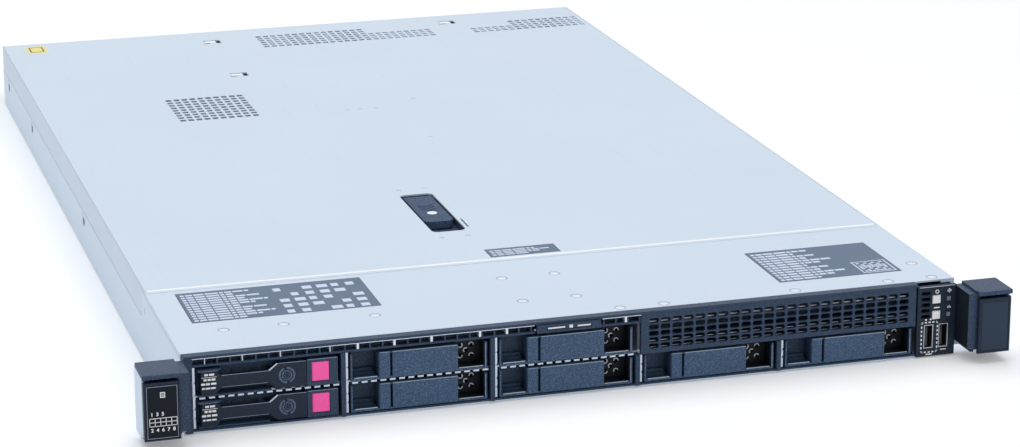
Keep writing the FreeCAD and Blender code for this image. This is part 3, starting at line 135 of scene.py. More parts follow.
def setCamera():
    camera = bpy.data.cameras.new("mainCamera")
    camera.lens = studio["lens"]
    camera.shift_x = studio["shiftX"]
    camera.shift_y = studio["shiftY"]
    camera.clip_end = studio["viewReach"]
    holder = bpy.data.objects.new("mainCamera", camera)
    holder.location = studio["cameraPlace"]
    holder.rotation_euler = [math.radians(v) for v in studio["cameraTurn"]]
    bpy.context.scene.collection.objects.link(holder)
    bpy.context.scene.camera = holder


def addFloor():
    bpy.ops.object.select_all(action="DESELECT")
    bpy.ops.mesh.primitive_plane_add(size=studio["floorSize"],
                                     location=(0, 0, cadBox[0][2] - studio["floorGap"]))
    floor = bpy.context.object
    floor.name = "studioFloor"
    material = bpy.data.materials.new("floorPaper")
    tree = clearedTree(material)
    paper = addNode(tree, "ShaderNodeBsdfDiffuse", {"Color": studio["floorColour"]})
    lift = addMath(tree, "MULTIPLY", shownRays(tree), studio["floorLift"])
    glow = addNode(tree, "ShaderNodeEmission", {"Color": white, "Strength": lift})
    both = addNode(tree, "ShaderNodeAddShader", {0: paper.outputs[0], 1: glow.outputs[0]})
    addNode(tree, "ShaderNodeOutputMaterial", {"Surface": both.outputs[0]})
    floor.data.materials.append(material)


bpy.context.scene.view_settings.view_transform = "Standard"
setSky()
addLamp("keyLamp", **studio["keyLamp"])
addLamp("frontLamp", **studio["frontLamp"])
setCamera()
addFloor()
print("studio ready")


# shared shader groups
def newGroup(name, numbers, results):
    # takes a place on the piece and numbers, and gives values that change over the surface
    group = bpy.data.node_groups.new(name, "ShaderNodeTree")
    group.interface.new_socket("Place", in_out="INPUT", socket_type="NodeSocketVector")
    for socketName, value in numbers.items():
        socket = group.interface.new_socket(socketName, in_out="INPUT",
                                            socket_type="NodeSocketFloat")
        socket.default_value = value
    for socketName in results:
        group.interface.new_socket(socketName, in_out="OUTPUT", socket_type="NodeSocketFloat")
    given = group.nodes.new("NodeGroupInput").outputs
    put = group.nodes.new("NodeGroupOutput").inputs
    return group, given, put


def addNoise(tree, place, size, detail, roughness=0.5):
    return addNode(tree, "ShaderNodeTexNoise",
                   {"Vector": place, "Scale": size, "Detail": detail,
                    "Roughness": roughness}).outputs["Fac"]


def stretched(tree, place, scale):
    return addNode(tree, "ShaderNodeMapping", {"Vector": place, "Scale": scale}).outputs["Vector"]


def weighted(tree, first, firstShare, second, secondShare):
    return addMath(tree, "ADD", addMath(tree, "MULTIPLY", first, firstShare),
                   addMath(tree, "MULTIPLY", second, secondShare))


def buildRolledGrain():
    # fine lines of rolled sheet, plus a soft cloudiness
    group, given, put = newGroup("rolledGrain", {"Fineness": 900.0}, ("Tone", "Height"))
    along = stretched(group, given["Place"], (1.0, 0.08, 1.0))
    lines = addNoise(group, along, given["Fineness"], 3.0)
    clouds = addNoise(group, given["Place"], 9.0, 3.0)
    group.links.new(weighted(group, lines, 0.35, clouds, 0.65), put["Tone"])
    group.links.new(lines, put["Height"])
    return group


def buildMouldGrain():
    # spark-eroded pebble of moulded plastic
    group, given, put = newGroup("mouldGrain", {"Fineness": 1500.0}, ("Tone", "Height"))
    cells = addNode(group, "ShaderNodeTexVoronoi",
                    {"Vector": given["Place"], "Scale": given["Fineness"]})
    fine = addNoise(group, given["Place"], given["Fineness"], 2.0, 0.6)
    height = weighted(group, cells.outputs["Distance"], 0.6, fine, 0.5)
    group.links.new(spanOf(group, height, start=0.52, end=0.72), put["Tone"])
    group.links.new(height, put["Height"])
    return group


def buildHandling():
    # dust and finger marks in soft patches, with a few hairline scratches
    group, given, put = newGroup("handlingMarks", {"Patch": 14.0}, ("Mask",))
    patches = addNoise(group, given["Place"], given["Patch"], 5.0, 0.6)
    thin = stretched(group, given["Place"], (1.0, 0.05, 1.0))
    scratch = addNoise(group, thin, 240.0, 2.0, 0.4)
    hair = spanOf(group, scratch, start=0.66, end=0.74)
    group.links.new(weighted(group, patches, 0.7, hair, 0.3), put["Mask"])
    return group


def buildRecessShade():
    # 0 on the shown front face, rising to 1 further in
    group, given, put = newGroup("recessShade", {"Start": -0.0045, "Reach": 0.004}, ("Mask",))
    parts = addNode(group, "ShaderNodeSeparateXYZ", {0: given["Place"]})
    inward = addMath(group, "SUBTRACT", parts.outputs["Y"], given["Start"])
    mask = addMath(group, "DIVIDE", inward, given["Reach"])
    mask.node.use_clamp = True
    group.links.new(mask, put["Mask"])
    return group


def buildColumnBand():
    # 1 in the same band of every drive column, 0 elsewhere
    group, given, put = newGroup("columnBand", {"First": 0.0, "Pitch": 0.08, "Edge": 0.06},
                                 ("Mask",))
    parts = addNode(group, "ShaderNodeSeparateXYZ", {0: given["Place"]})
    along = addMath(group, "SUBTRACT", parts.outputs["X"], given["First"])
    inColumn = addMath(group, "MODULO", along, given["Pitch"])
    group.links.new(addMath(group, "GREATER_THAN", inColumn, given["Edge"]), put["Mask"])
    return group


rolledGrain = buildRolledGrain()
recessShade = buildRecessShade()
columnBand = buildColumnBand()
mouldGrain = buildMouldGrain()
handlingMarks = buildHandling()

# how grain, wear and dust show on each kind of surface
wear = {
    "steelPatch": 14.0,
    "steelWear": 0.35,
    "steelBump": (0.08, 0.02 * mm),       # strength and depth
    "plasticPatch": 20.0,
    "plasticFineness": 1500.0,
    "plasticBump": (0.35, 0.05 * mm),
    "plasticSpecular": 0.25,
    "glossPatch": 30.0,
    "glossClouding": 0.08,
    "glossCoatRoughness": 0.08,
    "boardScale": 160.0,
    "boardSpots": 230.0,
    "boardBump": (0.2, 0.03 * mm),
    "tin": (0.62, 0.6, 0.52),
}


def addGroup(tree, group, place, *numbers):
    # the numbers go to the group's own inputs, in their order
    given = {"Place": place}
    given.update({n + 1: value for n, value in enumerate(numbers)})
    return addNode(tree, "ShaderNodeGroup", given, node_tree=group).outputs


def colourMix(tree, factor, dark, light):
    # a Mix node has its colours at inputs 6 and 7 and gives them at output 2
    return addNode(tree, "ShaderNodeMix", {"Factor": factor, 6: dark, 7: light},
                   data_type="RGBA").outputs[2]


def shade(colour, amount=1.0):
    return tuple(min(1.0, c * amount) for c in colour) + (1,)


def startMaterial():
    material = bpy.data.materials.new("finish")
    material.use_nodes = True
    tree = material.node_tree
    shader = tree.nodes["Principled BSDF"]
    place = tree.nodes.new("ShaderNodeTexCoord").outputs["Object"]
    return material, tree, shader, place


def addBump(tree, shader, height, strength, distance):
    bump = addNode(tree, "ShaderNodeBump",
                   {"Strength": strength, "Distance": distance, "Height": height})
    tree.links.new(bump.outputs["Normal"], shader.inputs["Normal"])


def addRecessShade(tree, place, base, dark, start, reach, amount):
    # painted shade: darkens what lies behind the shown face, where shadow falls
    mask = addGroup(tree, recessShade, place, start, reach)["Mask"]
    return colourMix(tree, spanOf(tree, mask, 0.0, amount), base, dark)


def makeSteel(colour, metallic, roughness, contrast=0.06, fineness=900.0, recess=None):
    material, tree, shader, place = startMaterial()
    grain = addGroup(tree, rolledGrain, place, fineness)
    marks = addGroup(tree, handlingMarks, place, wear["steelPatch"])["Mask"]
    base = colourMix(tree, grain["Tone"], shade(colour, 1 - contrast), shade(colour, 1 + contrast))
    worn = colourMix(tree, spanOf(tree, marks, 0.0, wear["steelWear"]), base,
                     shade(colour, 1 - 2 * contrast))
    # painted shade: darker behind the shown face, as in a shadowed recess
    if recess:
        worn = addRecessShade(tree, place, worn, shade(colour, 0.06), *recess)
    tree.links.new(worn, shader.inputs["Base Color"])
    tree.links.new(spanOf(tree, marks, roughness - 0.06, roughness + 0.1),
                   shader.inputs["Roughness"])
    shader.inputs["Metallic"].default_value = metallic
    addBump(tree, shader, grain["Height"], *wear["steelBump"])
    return material


def makePlastic(colour, roughness, fleck=1.7, recess=None, pocketShade=None, flankShade=None, glow=0.0):
    material, tree, shader, place = startMaterial()
    grain = addGroup(tree, mouldGrain, place, wear["plasticFineness"])
    marks = addGroup(tree, handlingMarks, place, wear["plasticPatch"])["Mask"]
    base = colourMix(tree, grain["Tone"], shade(colour, 0.86), shade(colour, fleck))
    # painted shade: darker behind the shown face, where recesses fall in shadow
    if recess:
        base = addRecessShade(tree, place, base, shade(colour, 0.12), *recess)
    # painted shade: darkest deep in the pocket of every drive column
    if pocketShade:
        band = addGroup(tree, columnBand, place, *pocketShade)["Mask"]
        deep = addGroup(tree, recessShade, place, recess[0])["Mask"]
        base = colourMix(tree, addMath(tree, "MULTIPLY", band, deep), base, shade(colour, 0.05))
    # painted shade: a dark side face before the edge
    if flankShade:
        beyond = addGroup(tree, columnBand, place, *flankShade)["Mask"]
        base = colourMix(tree, beyond, shade(colour, 0.15), base)
    if glow:
        # painted glow: emission makes the dye look brighter than the plastics round it, though it
        # is no lamp
        tree.links.new(base, shader.inputs["Emission Color"])
        shader.inputs["Emission Strength"].default_value = glow
    tree.links.new(base, shader.inputs["Base Color"])
    tree.links.new(spanOf(tree, marks, roughness - 0.05, roughness + 0.08),
                   shader.inputs["Roughness"])
    shader.inputs["Specular IOR Level"].default_value = wear["plasticSpecular"]
    addBump(tree, shader, grain["Height"], *wear["plasticBump"])
    return material


def makeGloss(colour, roughness, coat=0.5, specular=0.5):
    # smooth moulded or printed surface, only faintly clouded
    material, tree, shader, place = startMaterial()
    marks = addGroup(tree, handlingMarks, place, wear["glossPatch"])["Mask"]
    clouding = wear["glossClouding"]
    base = colourMix(tree, marks, shade(colour, 1 + clouding), shade(colour, 1 - clouding))
    tree.links.new(base, shader.inputs["Base Color"])
    tree.links.new(spanOf(tree, marks, roughness, roughness + 0.08), shader.inputs["Roughness"])
    shader.inputs["Specular IOR Level"].default_value = specular
    shader.inputs["Coat Weight"].default_value = coat
    shader.inputs["Coat Roughness"].default_value = wear["glossCoatRoughness"]
    return material


def makeBoard(colour, trackColour):
    # lacquered circuit board: tracks from a brick pattern, with tinned spots
    material, tree, shader, place = startMaterial()
    bricks = addNode(tree, "ShaderNodeTexBrick",
                     {"Vector": place, "Scale": wear["boardScale"], "Mortar Size": 0.06,
                      "Color1": shade(colour), "Color2": shade(colour, 1.25),
                      "Mortar": shade(trackColour)})
    spots = addNode(tree, "ShaderNodeTexVoronoi", {"Vector": place, "Scale": wear["boardSpots"]})
    near = spanOf(tree, spots.outputs["Distance"], start=0.16, end=0.12)
    base = colourMix(tree, near, bricks.outputs["Color"], shade(wear["tin"]))
    tree.links.new(base, shader.inputs["Base Color"])
    shader.inputs["Roughness"].default_value = 0.4
    addBump(tree, shader, bricks.outputs["Fac"], *wear["boardBump"])
    return material


# places across the front: where the first column starts, the pitch, and an edge in each column
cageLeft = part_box("drive_cage")[0][0]
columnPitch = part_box("drive_blank_5")[0][0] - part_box("drive_blank_3")[0][0]
platePocketShade = (cageLeft, columnPitch, 60.7 * mm)       # painted shade: darker beyond the edge, in the pocket
flankStart = 200 * mm
# painted shade: darker before the edge, on the side that faces the drives
postFlankShade = (flankStart, 1.0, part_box("right_ear_housing")[0][0] - flankStart + 0.15 * mm)
finishes = {
    "coverSteel": makeSteel((0.590, 0.695, 0.820), 0.25, 0.42),
    "sideSteel": makeSteel((0.64, 0.755, 0.88), 0.3, 0.45),
    "cageSteel": makeSteel((0.60, 0.68, 0.79), 0.5, 0.32),
    "paintedShadeSteel": makeSteel((0.30, 0.36, 0.45), 0.3, 0.4),
    "paintedHighlightSteel": makeSteel((0.90, 0.95, 1.0), 0.1, 0.35, contrast=0.03),
    # painted highlight: lighter than the cover steel, as the domed heads catch the light
    "rivetSteel": makeSteel((0.74, 0.81, 0.90), 0.3, 0.35),
    "tinnedSteel": makeSteel((0.6, 0.63, 0.66), 0.9, 0.28, fineness=1600.0),
    # painted shade: darkens the inside of the sockets behind the front edge
    "socketSteel": makeSteel((0.66, 0.7, 0.76), 0.3, 0.3, fineness=1600.0,
                             recess=(-0.0047, 0.0008, 1.0)),
    "screwSteel": makeSteel((0.55, 0.58, 0.62), 0.85, 0.3, fineness=2200.0),
    "finMetal": makeSteel((0.66, 0.69, 0.72), 0.8, 0.36, fineness=1200.0),
    "diskMetal": makeSteel((0.20, 0.22, 0.26), 0.6, 0.4, fineness=1200.0),
    "supplySteel": makeSteel((0.5, 0.55, 0.6), 0.6, 0.4),
    "pebblePlastic": makePlastic((0.027, 0.049, 0.092), 0.5),
    # painted shade in the blanks' pockets, deepest in each column
    "platePlastic": makePlastic((0.045, 0.083, 0.150), 0.48, fleck=2.0,
                                recess=(-0.0048, 0.003, 0.55), pocketShade=platePocketShade),
    "leverPlastic": makePlastic((0.008, 0.016, 0.034), 0.42),
    # painted shade on the housing's side face
    "postPlastic": makePlastic((0.030, 0.052, 0.098), 0.5, flankShade=postFlankShade),
    "outerPostPlastic": makePlastic((0.030, 0.052, 0.098), 0.5),
    "latchPlastic": makePlastic((0.038, 0.062, 0.115), 0.7, fleck=2.2),
    "fanPlastic": makePlastic((0.022, 0.025, 0.03), 0.45, fleck=1.3),
    "ductPlastic": makePlastic((0.03, 0.035, 0.042), 0.38, fleck=1.2),
    "panelPlastic": makePlastic((0.010, 0.019, 0.038), 0.5),
    "paintedShadeBlack": makePlastic((0.004, 0.005, 0.008), 0.6, fleck=1.2),
    "panelGloss": makeGloss((0.005, 0.008, 0.015), 0.45, coat=0.0, specular=0.15),
    "panelMatt": makeGloss((0.026, 0.043, 0.075), 0.5, coat=0.0, specular=0.2),
    # painted glow on the magenta buttons and latches
    "magentaPlastic": makePlastic((1.0, 0.115, 0.42), 0.38, fleck=1.05, glow=0.15),
    "whitePlastic": makeGloss((0.92, 0.95, 1.0), 0.3),
    "whiteInk": makeGloss((0.92, 0.96, 1.0), 0.5, coat=0.0),
    "greyFoil": makeGloss((0.125, 0.175, 0.26), 0.5, coat=0.0, specular=0.15),
    "yellowFoil": makeGloss((0.80, 0.70, 0.20), 0.4, coat=0.1),
    "darkInk": makeGloss((0.07, 0.09, 0.15), 0.5, coat=0.0),
    "lampWindow": makeGloss((0.22, 0.27, 0.35), 0.25),
    "paleInk": makeGloss((0.60, 0.68, 0.84), 0.5, coat=0.0),
    "brightTab": makeSteel((0.86, 0.9, 0.95), 0.3, 0.35),
    "paintedHighlightPlastic": makeGloss((0.62, 0.70, 0.80), 0.3, coat=0.2),
    "edgePlastic": makeGloss((0.30, 0.37, 0.49), 0.3, coat=0.1),
    "ringPlastic": makePlastic((0.075, 0.115, 0.19), 0.45, fleck=1.6),
    "boardLacquer": makeBoard((0.016, 0.075, 0.036), (0.03, 0.13, 0.06)),
    "moduleLacquer": makeBoard((0.02, 0.09, 0.045), (0.012, 0.014, 0.016)),
}
for name, material in finishes.items():
    material.name = name

nodeFinish = {
    "coverSteel": ["front_hood", "access_cover"],
    "sideSteel": ["chassis_pan", "rear_panel", "left_ear_bracket", "right_ear_bracket"],
    "cageSteel": ["drive_cage", "riser_cage"],
    "tinnedSteel": ["rear_ports", "cover_latch_pin", "ear_hinge_pins"],
    "socketSteel": ["front_usb_sockets"],
    "rivetSteel": ["hood_rivets"],
    "screwSteel": ["board_screws", "rack_screws"],
    "finMetal": ["heat_sinks"],
    "diskMetal": ["disk_1", "disk_2"],
    "supplySteel": ["power_supply_1", "power_supply_2"],
    "pebblePlastic": ["front_bezel", "media_bay_blank", "info_tab", "drive_carrier_1",
                      "drive_carrier_2"],
    "panelPlastic": ["io_bezel"],
    "postPlastic": ["right_ear_housing"],
    "outerPostPlastic": ["left_ear_housing"],
    "platePlastic": ["drive_blank_%d" % bay for bay in range(3, 9)],
    "leverPlastic": ["carrier_lever_1", "carrier_lever_2", "left_ear_lever", "right_ear_lever"],
    "latchPlastic": ["cover_latch_lever", "cover_latch_tray"],
    "fanPlastic": ["fan_frames"] + ["fan_rotor_%d" % n for n in range(1, 8)],
    "ductPlastic": ["air_baffle"],
    "magentaPlastic": ["carrier_button_1", "carrier_button_2", "psu_latch_1", "psu_latch_2"],
    "whitePlastic": ["power_button", "locator_button", "cover_latch_lock"],
    "boardLacquer": ["system_board", "drive_backplane", "front_io_board"],
    "moduleLacquer": ["memory_modules"],
}


def dressNodes():
    dressed = set()
    for finish, names in nodeFinish.items():
        for name in names:
            mesh = nodes[name].data
            mesh.materials.clear()
            mesh.materials.append(finishes[finish])
            dressed.add(name)
    bare = sorted(set(nodes) - dressed)
    print("dressed", len(dressed), "nodes, bare:", bare)


dressNodes()

# making and finishing new pieces
def deselect():
    if bpy.context.object and bpy.context.object.mode != "OBJECT":
        bpy.ops.object.mode_set(mode="OBJECT")
    bpy.ops.object.select_all(action="DESELECT")


def selectOnly(piece):
    deselect()
    piece.select_set(True)
    bpy.context.view_layer.objects.active = piece


def applyPlace():
    bpy.ops.object.transform_apply(location=True, rotation=True, scale=True)


def addBlock(low, high):
    # corners in millimetres; the mesh ends up in place, its object at the origin
    deselect()
    middle = [(a + b) / 2 * mm for a, b in zip(low, high)]
    size = [(b - a) * mm for a, b in zip(low, high)]
    bpy.ops.mesh.primitive_cube_add(size=1, location=middle, scale=size)
    applyPlace()
    return bpy.context.object


def selectFaces(wanted):
    # in edit mode: only the faces whose centre and normal pass the test
    mesh = bmesh.from_edit_mesh(bpy.context.object.data)
    for part in (mesh.faces, mesh.edges, mesh.verts):
        for item in part:
            item.select = False
    for face in mesh.faces:
        if wanted(face.calc_center_median() / mm, face.normal):
            face.select_set(True)
    bmesh.update_edit_mesh(bpy.context.object.data)


def insetFaces(wanted, width, depth=0.0):
    bpy.ops.object.mode_set(mode="EDIT")
    bpy.ops.mesh.select_mode(type="FACE")
    selectFaces(wanted)
    bpy.ops.mesh.inset(thickness=width * mm, depth=depth * mm)
    bpy.ops.object.mode_set(mode="OBJECT")


def applyModifier(piece, kind, **settings):
    bpy.context.view_layer.objects.active = piece
    modifier = piece.modifiers.new(kind.title(), kind)
    for setting, value in settings.items():
        setattr(modifier, setting, value)
    bpy.ops.object.modifier_apply(modifier=modifier.name)


def joinAll(pieces):
    deselect()
    for piece in pieces:
        piece.select_set(True)
    bpy.context.view_layer.objects.active = pieces[0]
    if len(pieces) > 1:
        bpy.ops.object.join()
    return bpy.context.object


def finishPiece(piece, name, finish, body):
    piece.name = name
    piece.data.name = name
    piece.data.materials.clear()
    piece.data.materials.append(finishes[finish])
    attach(piece, body)


sink = 0.02      # how far a laid-on piece reaches into the face under it, in millimetres
up = (0, 0, 1)


def addPlate(low, high, edge, inset=0.0, depth=0.0, face=(0, -1, 0)):
    # a bevelled plate, its shown face inset and pressed in where asked
    piece = addBlock(low, high)
    if inset:
        insetFaces(lambda centre, normal: normal.dot(Vector(face)) > 0.9, inset, depth)
    applyModifier(piece, "BEVEL", width=edge * mm, segments=2, limit_method="ANGLE")
    return piece


ringShape = {
    "sides": 32,
    "gapHalf": 9,       # degrees on each side of a gap's middle
}


def addRing(x, z, y, outer, inner, thickness, gaps=()):
    # flat ring facing the front; gaps are the angles at which a piece of it is left out
    deselect()
    bpy.ops.mesh.primitive_circle_add(vertices=ringShape["sides"], radius=outer * mm,
                                      fill_type="NGON", location=(x * mm, y * mm, z * mm),
                                      rotation=(math.radians(90), 0, 0))
    piece = bpy.context.object
    applyPlace()
    insetFaces(lambda centre, normal: True, outer - inner)

    def dropped(centre, normal):
        turn = math.degrees(math.atan2(centre.z - z, centre.x - x)) % 360
        near = (centre - Vector((x, y, z))).length
        away = [abs((turn - gap + 180) % 360 - 180) for gap in gaps]
        return near < inner / 2 or min(away, default=360) < ringShape["gapHalf"]

    bpy.ops.object.mode_set(mode="EDIT")
    selectFaces(dropped)
    bpy.ops.mesh.delete(type="FACE")
    bpy.ops.object.mode_set(mode="OBJECT")
    applyModifier(piece, "SOLIDIFY", thickness=thickness * mm, offset=0)
    return piece


def addStrokes(strokes, y, thickness):
    # printed strokes on a face that looks forwards: (left, right, low, high)
    return joinAll([addBlock((x0, y - thickness, z0), (x1, y, z1)) for x0, x1, z0, z1 in strokes])


def addFrame(x0, x1, z0, z1, line):
    # the four strokes of a printed rectangle
    return [(x0, x1, z0, z0 + line), (x0, x1, z1 - line, z1),
            (x0, x0 + line, z0 + line, z1 - line), (x1 - line, x1, z0 + line, z1 - line)]


digitShape = {
    "extrude": 0.04,
    "offset": 0.07,       # makes the strokes bolder
    "steps": 3,
}


def addDigit(text, x, z, y, size):
    deselect()
    bpy.ops.object.text_add(location=(x * mm, y * mm, z * mm), rotation=(math.radians(90), 0, 0))
    piece = bpy.context.object
    piece.data.body = text
    piece.data.size = size * mm
    piece.data.align_x = "CENTER"
    piece.data.align_y = "CENTER"
    piece.data.extrude = digitShape["extrude"] * mm
    piece.data.offset = digitShape["offset"] * mm
    piece.data.resolution_u = digitShape["steps"]
    bpy.ops.object.convert(target="MESH")
    piece = bpy.context.object
    applyPlace()
    return piece


def boxOf(name):
    low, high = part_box(name)
    return [v / mm for v in low], [v / mm for v in high]


# labels and small marks on the sheet metal
topLabels = {
    "left": {"x": (-202.0, -98.0), "y": (46.0, 97.0), "rows": 12, "text": 0.47, "marks": (6, 5)},
    "middle": {"x": (-17.5, 24.0), "y": (110.0, 125.0), "rows": 4, "text": 1.0},
    "right": {"x": (122.0, 195.0), "y": (20.0, 75.0), "rows": 12, "text": 0.6, "square": 20.0},
    "thickness": 0.06,
    "border": 0.7,
    "margin": 2.0,
    "wordGap": 0.7,
    "wordLengths": (2.2, 1.7),      # the first, and the step to each longer one
    "leastWord": 2.0,
    "rowLengths": (0.62, 0.38),     # the same, as shares of the text's width
    "marksGap": 4.0,
    "squareLine": 0.9,
    "dots": 7,
    "stickerX": (-202.0, -187.5),
    "stickerY": (673.0, 694.0),
    "stickerFrame": (2.2, 3.0, 1.1),     # inset across, inset along, line
}


def addMark(x0, x1, y0, y1, top):
    # a printed mark on a face that looks upwards
    return addBlock((x0, y0, top - 0.01), (x1, y1, top + 0.03))


def addWords(x0, x1, y, height, row, top):
    # one printed row: blocks as long as words, with no letters in them
    first, longer = topLabels["wordLengths"]
    words = []
    x = x0
    step = row
    while x < x1 - topLabels["leastWord"]:
        length = min(first + longer * ((step * 5 + row * 3) % 4), x1 - x)
        words.append(addMark(x, x + length, y, y + height, top))
        x += length + topLabels["wordGap"]
        step += 1
    return words


def addCells(x0, y0, cellX, cellY, counts, top):
    # a field of short marks with gaps in it
    cells = []
    for i in range(counts[0]):
        for j in range(counts[1]):
            if (i * 2 + j * 3) % 5 == 4:
                continue
            x, y = x0 + i * cellX, y0 + j * cellY
            wide = cellX * (0.5 + 0.08 * ((i + j) % 4))
            cells.append(addMark(x, x + wide, y, y + cellY * 0.55, top))
    return cells


def addDots(x0, y0, side, top):
    # a framed block of dots
    dots = [addMark(*corners, top)
            for corners in addFrame(x0, x0 + side, y0, y0 + side, topLabels["squareLine"])]
    inset = topLabels["margin"]
    pitch = (side - 2 * inset) / topLabels["dots"]
    for i in range(topLabels["dots"]):
        for j in range(topLabels["dots"]):
            if (i * i + 3 * j) % 4 == 3:
                continue
            x, y = x0 + inset + i * pitch, y0 + inset + j * pitch
            dots.append(addMark(x, x + pitch * 0.8, y, y + pitch * 0.8, top))
    return dots


def addLabelPrint(place, top):
    margin = topLabels["margin"]
    x0, x1 = place["x"][0] + margin, place["x"][1] - margin
    y0, y1 = place["y"][0] + margin, place["y"][1] - margin
    textEnd = x0 + (x1 - x0) * place["text"]
    pitch = (y1 - y0) / place["rows"]
    shortest, longer = topLabels["rowLengths"]
    marks = []
    for row in range(place["rows"]):
        share = shortest + longer * ((row * 7) % 5) / 4
        marks += addWords(x0, x0 + (textEnd - x0) * share, y0 + row * pitch, pitch * 0.6, row, top)
    if "marks" in place:
        across, down = place["marks"]
        start = textEnd + topLabels["marksGap"]
        marks += addCells(start, y0, (x1 - start) / across, (y1 - y0) / down, (across, down), top)
    if "square" in place:
        marks += addDots(x1 - place["square"], y0, place["square"], top)
    return marks


def addLabel(name, place, body, top):
    x0, x1 = place["x"]
    y0, y1 = place["y"]
    thick = topLabels["thickness"]
    border = addPlate((x0, y0, top - sink), (x1, y1, top + thick), 0.02, 0.4, 0.0, up)
    finishPiece(border, name + "Border", "darkInk", body)
    edge = topLabels["border"]
    shown = top + thick + 0.03
    foil = addPlate((x0 + edge, y0 + edge, top), (x1 - edge, y1 - edge, shown), 0.02, 0.5, 0.0, up)
    finishPiece(foil, name + "Foil", "greyFoil", body)
    finishPiece(joinAll(addLabelPrint(place, shown)), name + "Print", "paleInk", body)


def addSticker(top):
    x0, x1 = topLabels["stickerX"]
    y0, y1 = topLabels["stickerY"]
    shown = top + topLabels["thickness"]
    sticker = addPlate((x0, y0, top - sink), (x1, y1, shown), 0.02, 1.6, 0.0, up)
    finishPiece(sticker, "coverSticker", "yellowFoil", "cover")
    across, along, line = topLabels["stickerFrame"]
    strokes = [addMark(*corners, shown)
               for corners in addFrame(x0 + across, x1 - across, y0 + along, y1 - along, line)]
    finishPiece(joinAll(strokes), "coverStickerFrame", "darkInk", "cover")


def addTopMarks():
    hoodTop = boxOf("front_hood")[1][2]
    coverTop = boxOf("access_cover")[1][2]
    addLabel("hoodLabelLeft", topLabels["left"], "chassis", hoodTop)
    addLabel("hoodLabelRight", topLabels["right"], "chassis", hoodTop)
    addLabel("coverLabel", topLabels["middle"], "cover", coverTop)
    addSticker(coverTop)
    print("labels done")


# folded edges, seams and what shows through the slots: painted shade as dark strips, rings and
# sheets, painted highlights as pale strips and tabs
sheetTrim = {
    "bend": 1.1,
    "bendDepth": 0.9,
    "bendRound": 0.45,
    "proud": 0.03,
    "jointStart": 116.5,
    "jointEndGap": 16.0,
    "jointSize": 0.5,
    "lipWidth": 2.4,
    "lipEndGap": 2.0,
    "slotRows": (326.0, 553.5, 673.0),
    "slotZ": 19.5,
    "shadeSheetReach": (9.0, 6.0, 8.0),       # forwards, backwards, up and down
    "shadeSheetDepths": (1.35, 1.02),
    "hooks": ((-67.0, 672.0), (-68.0, 570.0), (115.0, 681.0)),
    "wellReach": (8.0, 7.5, 8.0, 4.0),      # left, right, forwards, backwards
    "wellDepths": (2.4, 1.03),
    "tabReach": (5.6, 2.2, 4.8, -0.2),
    "tabHeight": 0.25,
    "rivetApart": 7.0,
    "rimGap": 0.15,
    "rimWide": 0.32,
    "rimFlat": 0.3,
    "rimSegments": (28, 6),
}


def addRivetRims():
    # a flat ring in the groove round each rivet head, dark as painted shade, modelled once and
    # copied
    apart = sheetTrim["rivetApart"]
    points = [vertex.co.xy / mm for vertex in nodes["hood_rivets"].data.vertices]
    heads = []
    for point in points:
        if all((point - head[0]).length > apart for head in heads):
            heads.append([p for p in points if (p - point).length < apart])
    centres = [[sum(axis) / len(head) for axis in zip(*head)] for head in heads]
    reach = max((point - heads[0][0]).length for point in heads[0]) / 2
    top = boxOf("front_hood")[1][2]
    segments = sheetTrim["rimSegments"]
    deselect()
    bpy.ops.mesh.primitive_torus_add(major_segments=segments[0], minor_segments=segments[1],
                                     major_radius=(reach + sheetTrim["rimGap"]) * mm,
                                     minor_radius=sheetTrim["rimWide"] * mm,
                                     location=(centres[0][0] * mm, centres[0][1] * mm, top * mm))
    start = bpy.context.object
    bpy.ops.object.mode_set(mode="EDIT")
    bpy.ops.mesh.select_all(action="SELECT")
    bpy.ops.transform.resize(value=(1, 1, sheetTrim["rimFlat"]))
    bpy.ops.object.mode_set(mode="OBJECT")
    rims = [start]
    for x, y in centres[1:]:
        selectOnly(start)
        bpy.ops.object.duplicate()
        copy = bpy.context.object
        copy.location = (x * mm, y * mm, top * mm)
        rims.append(copy)
    for rim in rims:
        selectOnly(rim)
        applyPlace()
    finishPiece(joinAll(rims), "rivetShadeRims", "paintedShadeSteel", "chassis")


def addCoverEdges(low, high):
    # painted shade: a dark strip on the rolled edge where the cover turns down, both sides
    bendShades = []
    for side in (-1, 1):
        inner, outer = sorted((side * (high[0] - sheetTrim["bend"]),
                               side * (high[0] + sheetTrim["proud"])))
        strip = addBlock((inner, low[1] + 0.2, high[2] - sheetTrim["bendDepth"]),
                         (outer, high[1] - 0.2, high[2] + sheetTrim["proud"]))
        applyModifier(strip, "BEVEL", width=sheetTrim["bendRound"] * mm, segments=3)
        bendShades.append(strip)
    finishPiece(joinAll(bendShades), "coverBendShades", "paintedShadeSteel", "cover")
    # painted shade: a dark strip in the joint under the cover's side rails
    size = sheetTrim["jointSize"]
    joints = []
    for side in (-1, 1):
        inner, outer = sorted((side * (high[0] - size), side * (high[0] + sink)))
        joints.append(addPlate((inner, sheetTrim["jointStart"], low[2] - size),
                               (outer, high[1] - sheetTrim["jointEndGap"], low[2] - sink), 0.03,
                               0.1, -0.03, (side, 0, 0)))
    finishPiece(joinAll(joints), "coverJointShades", "darkInk", "cover")


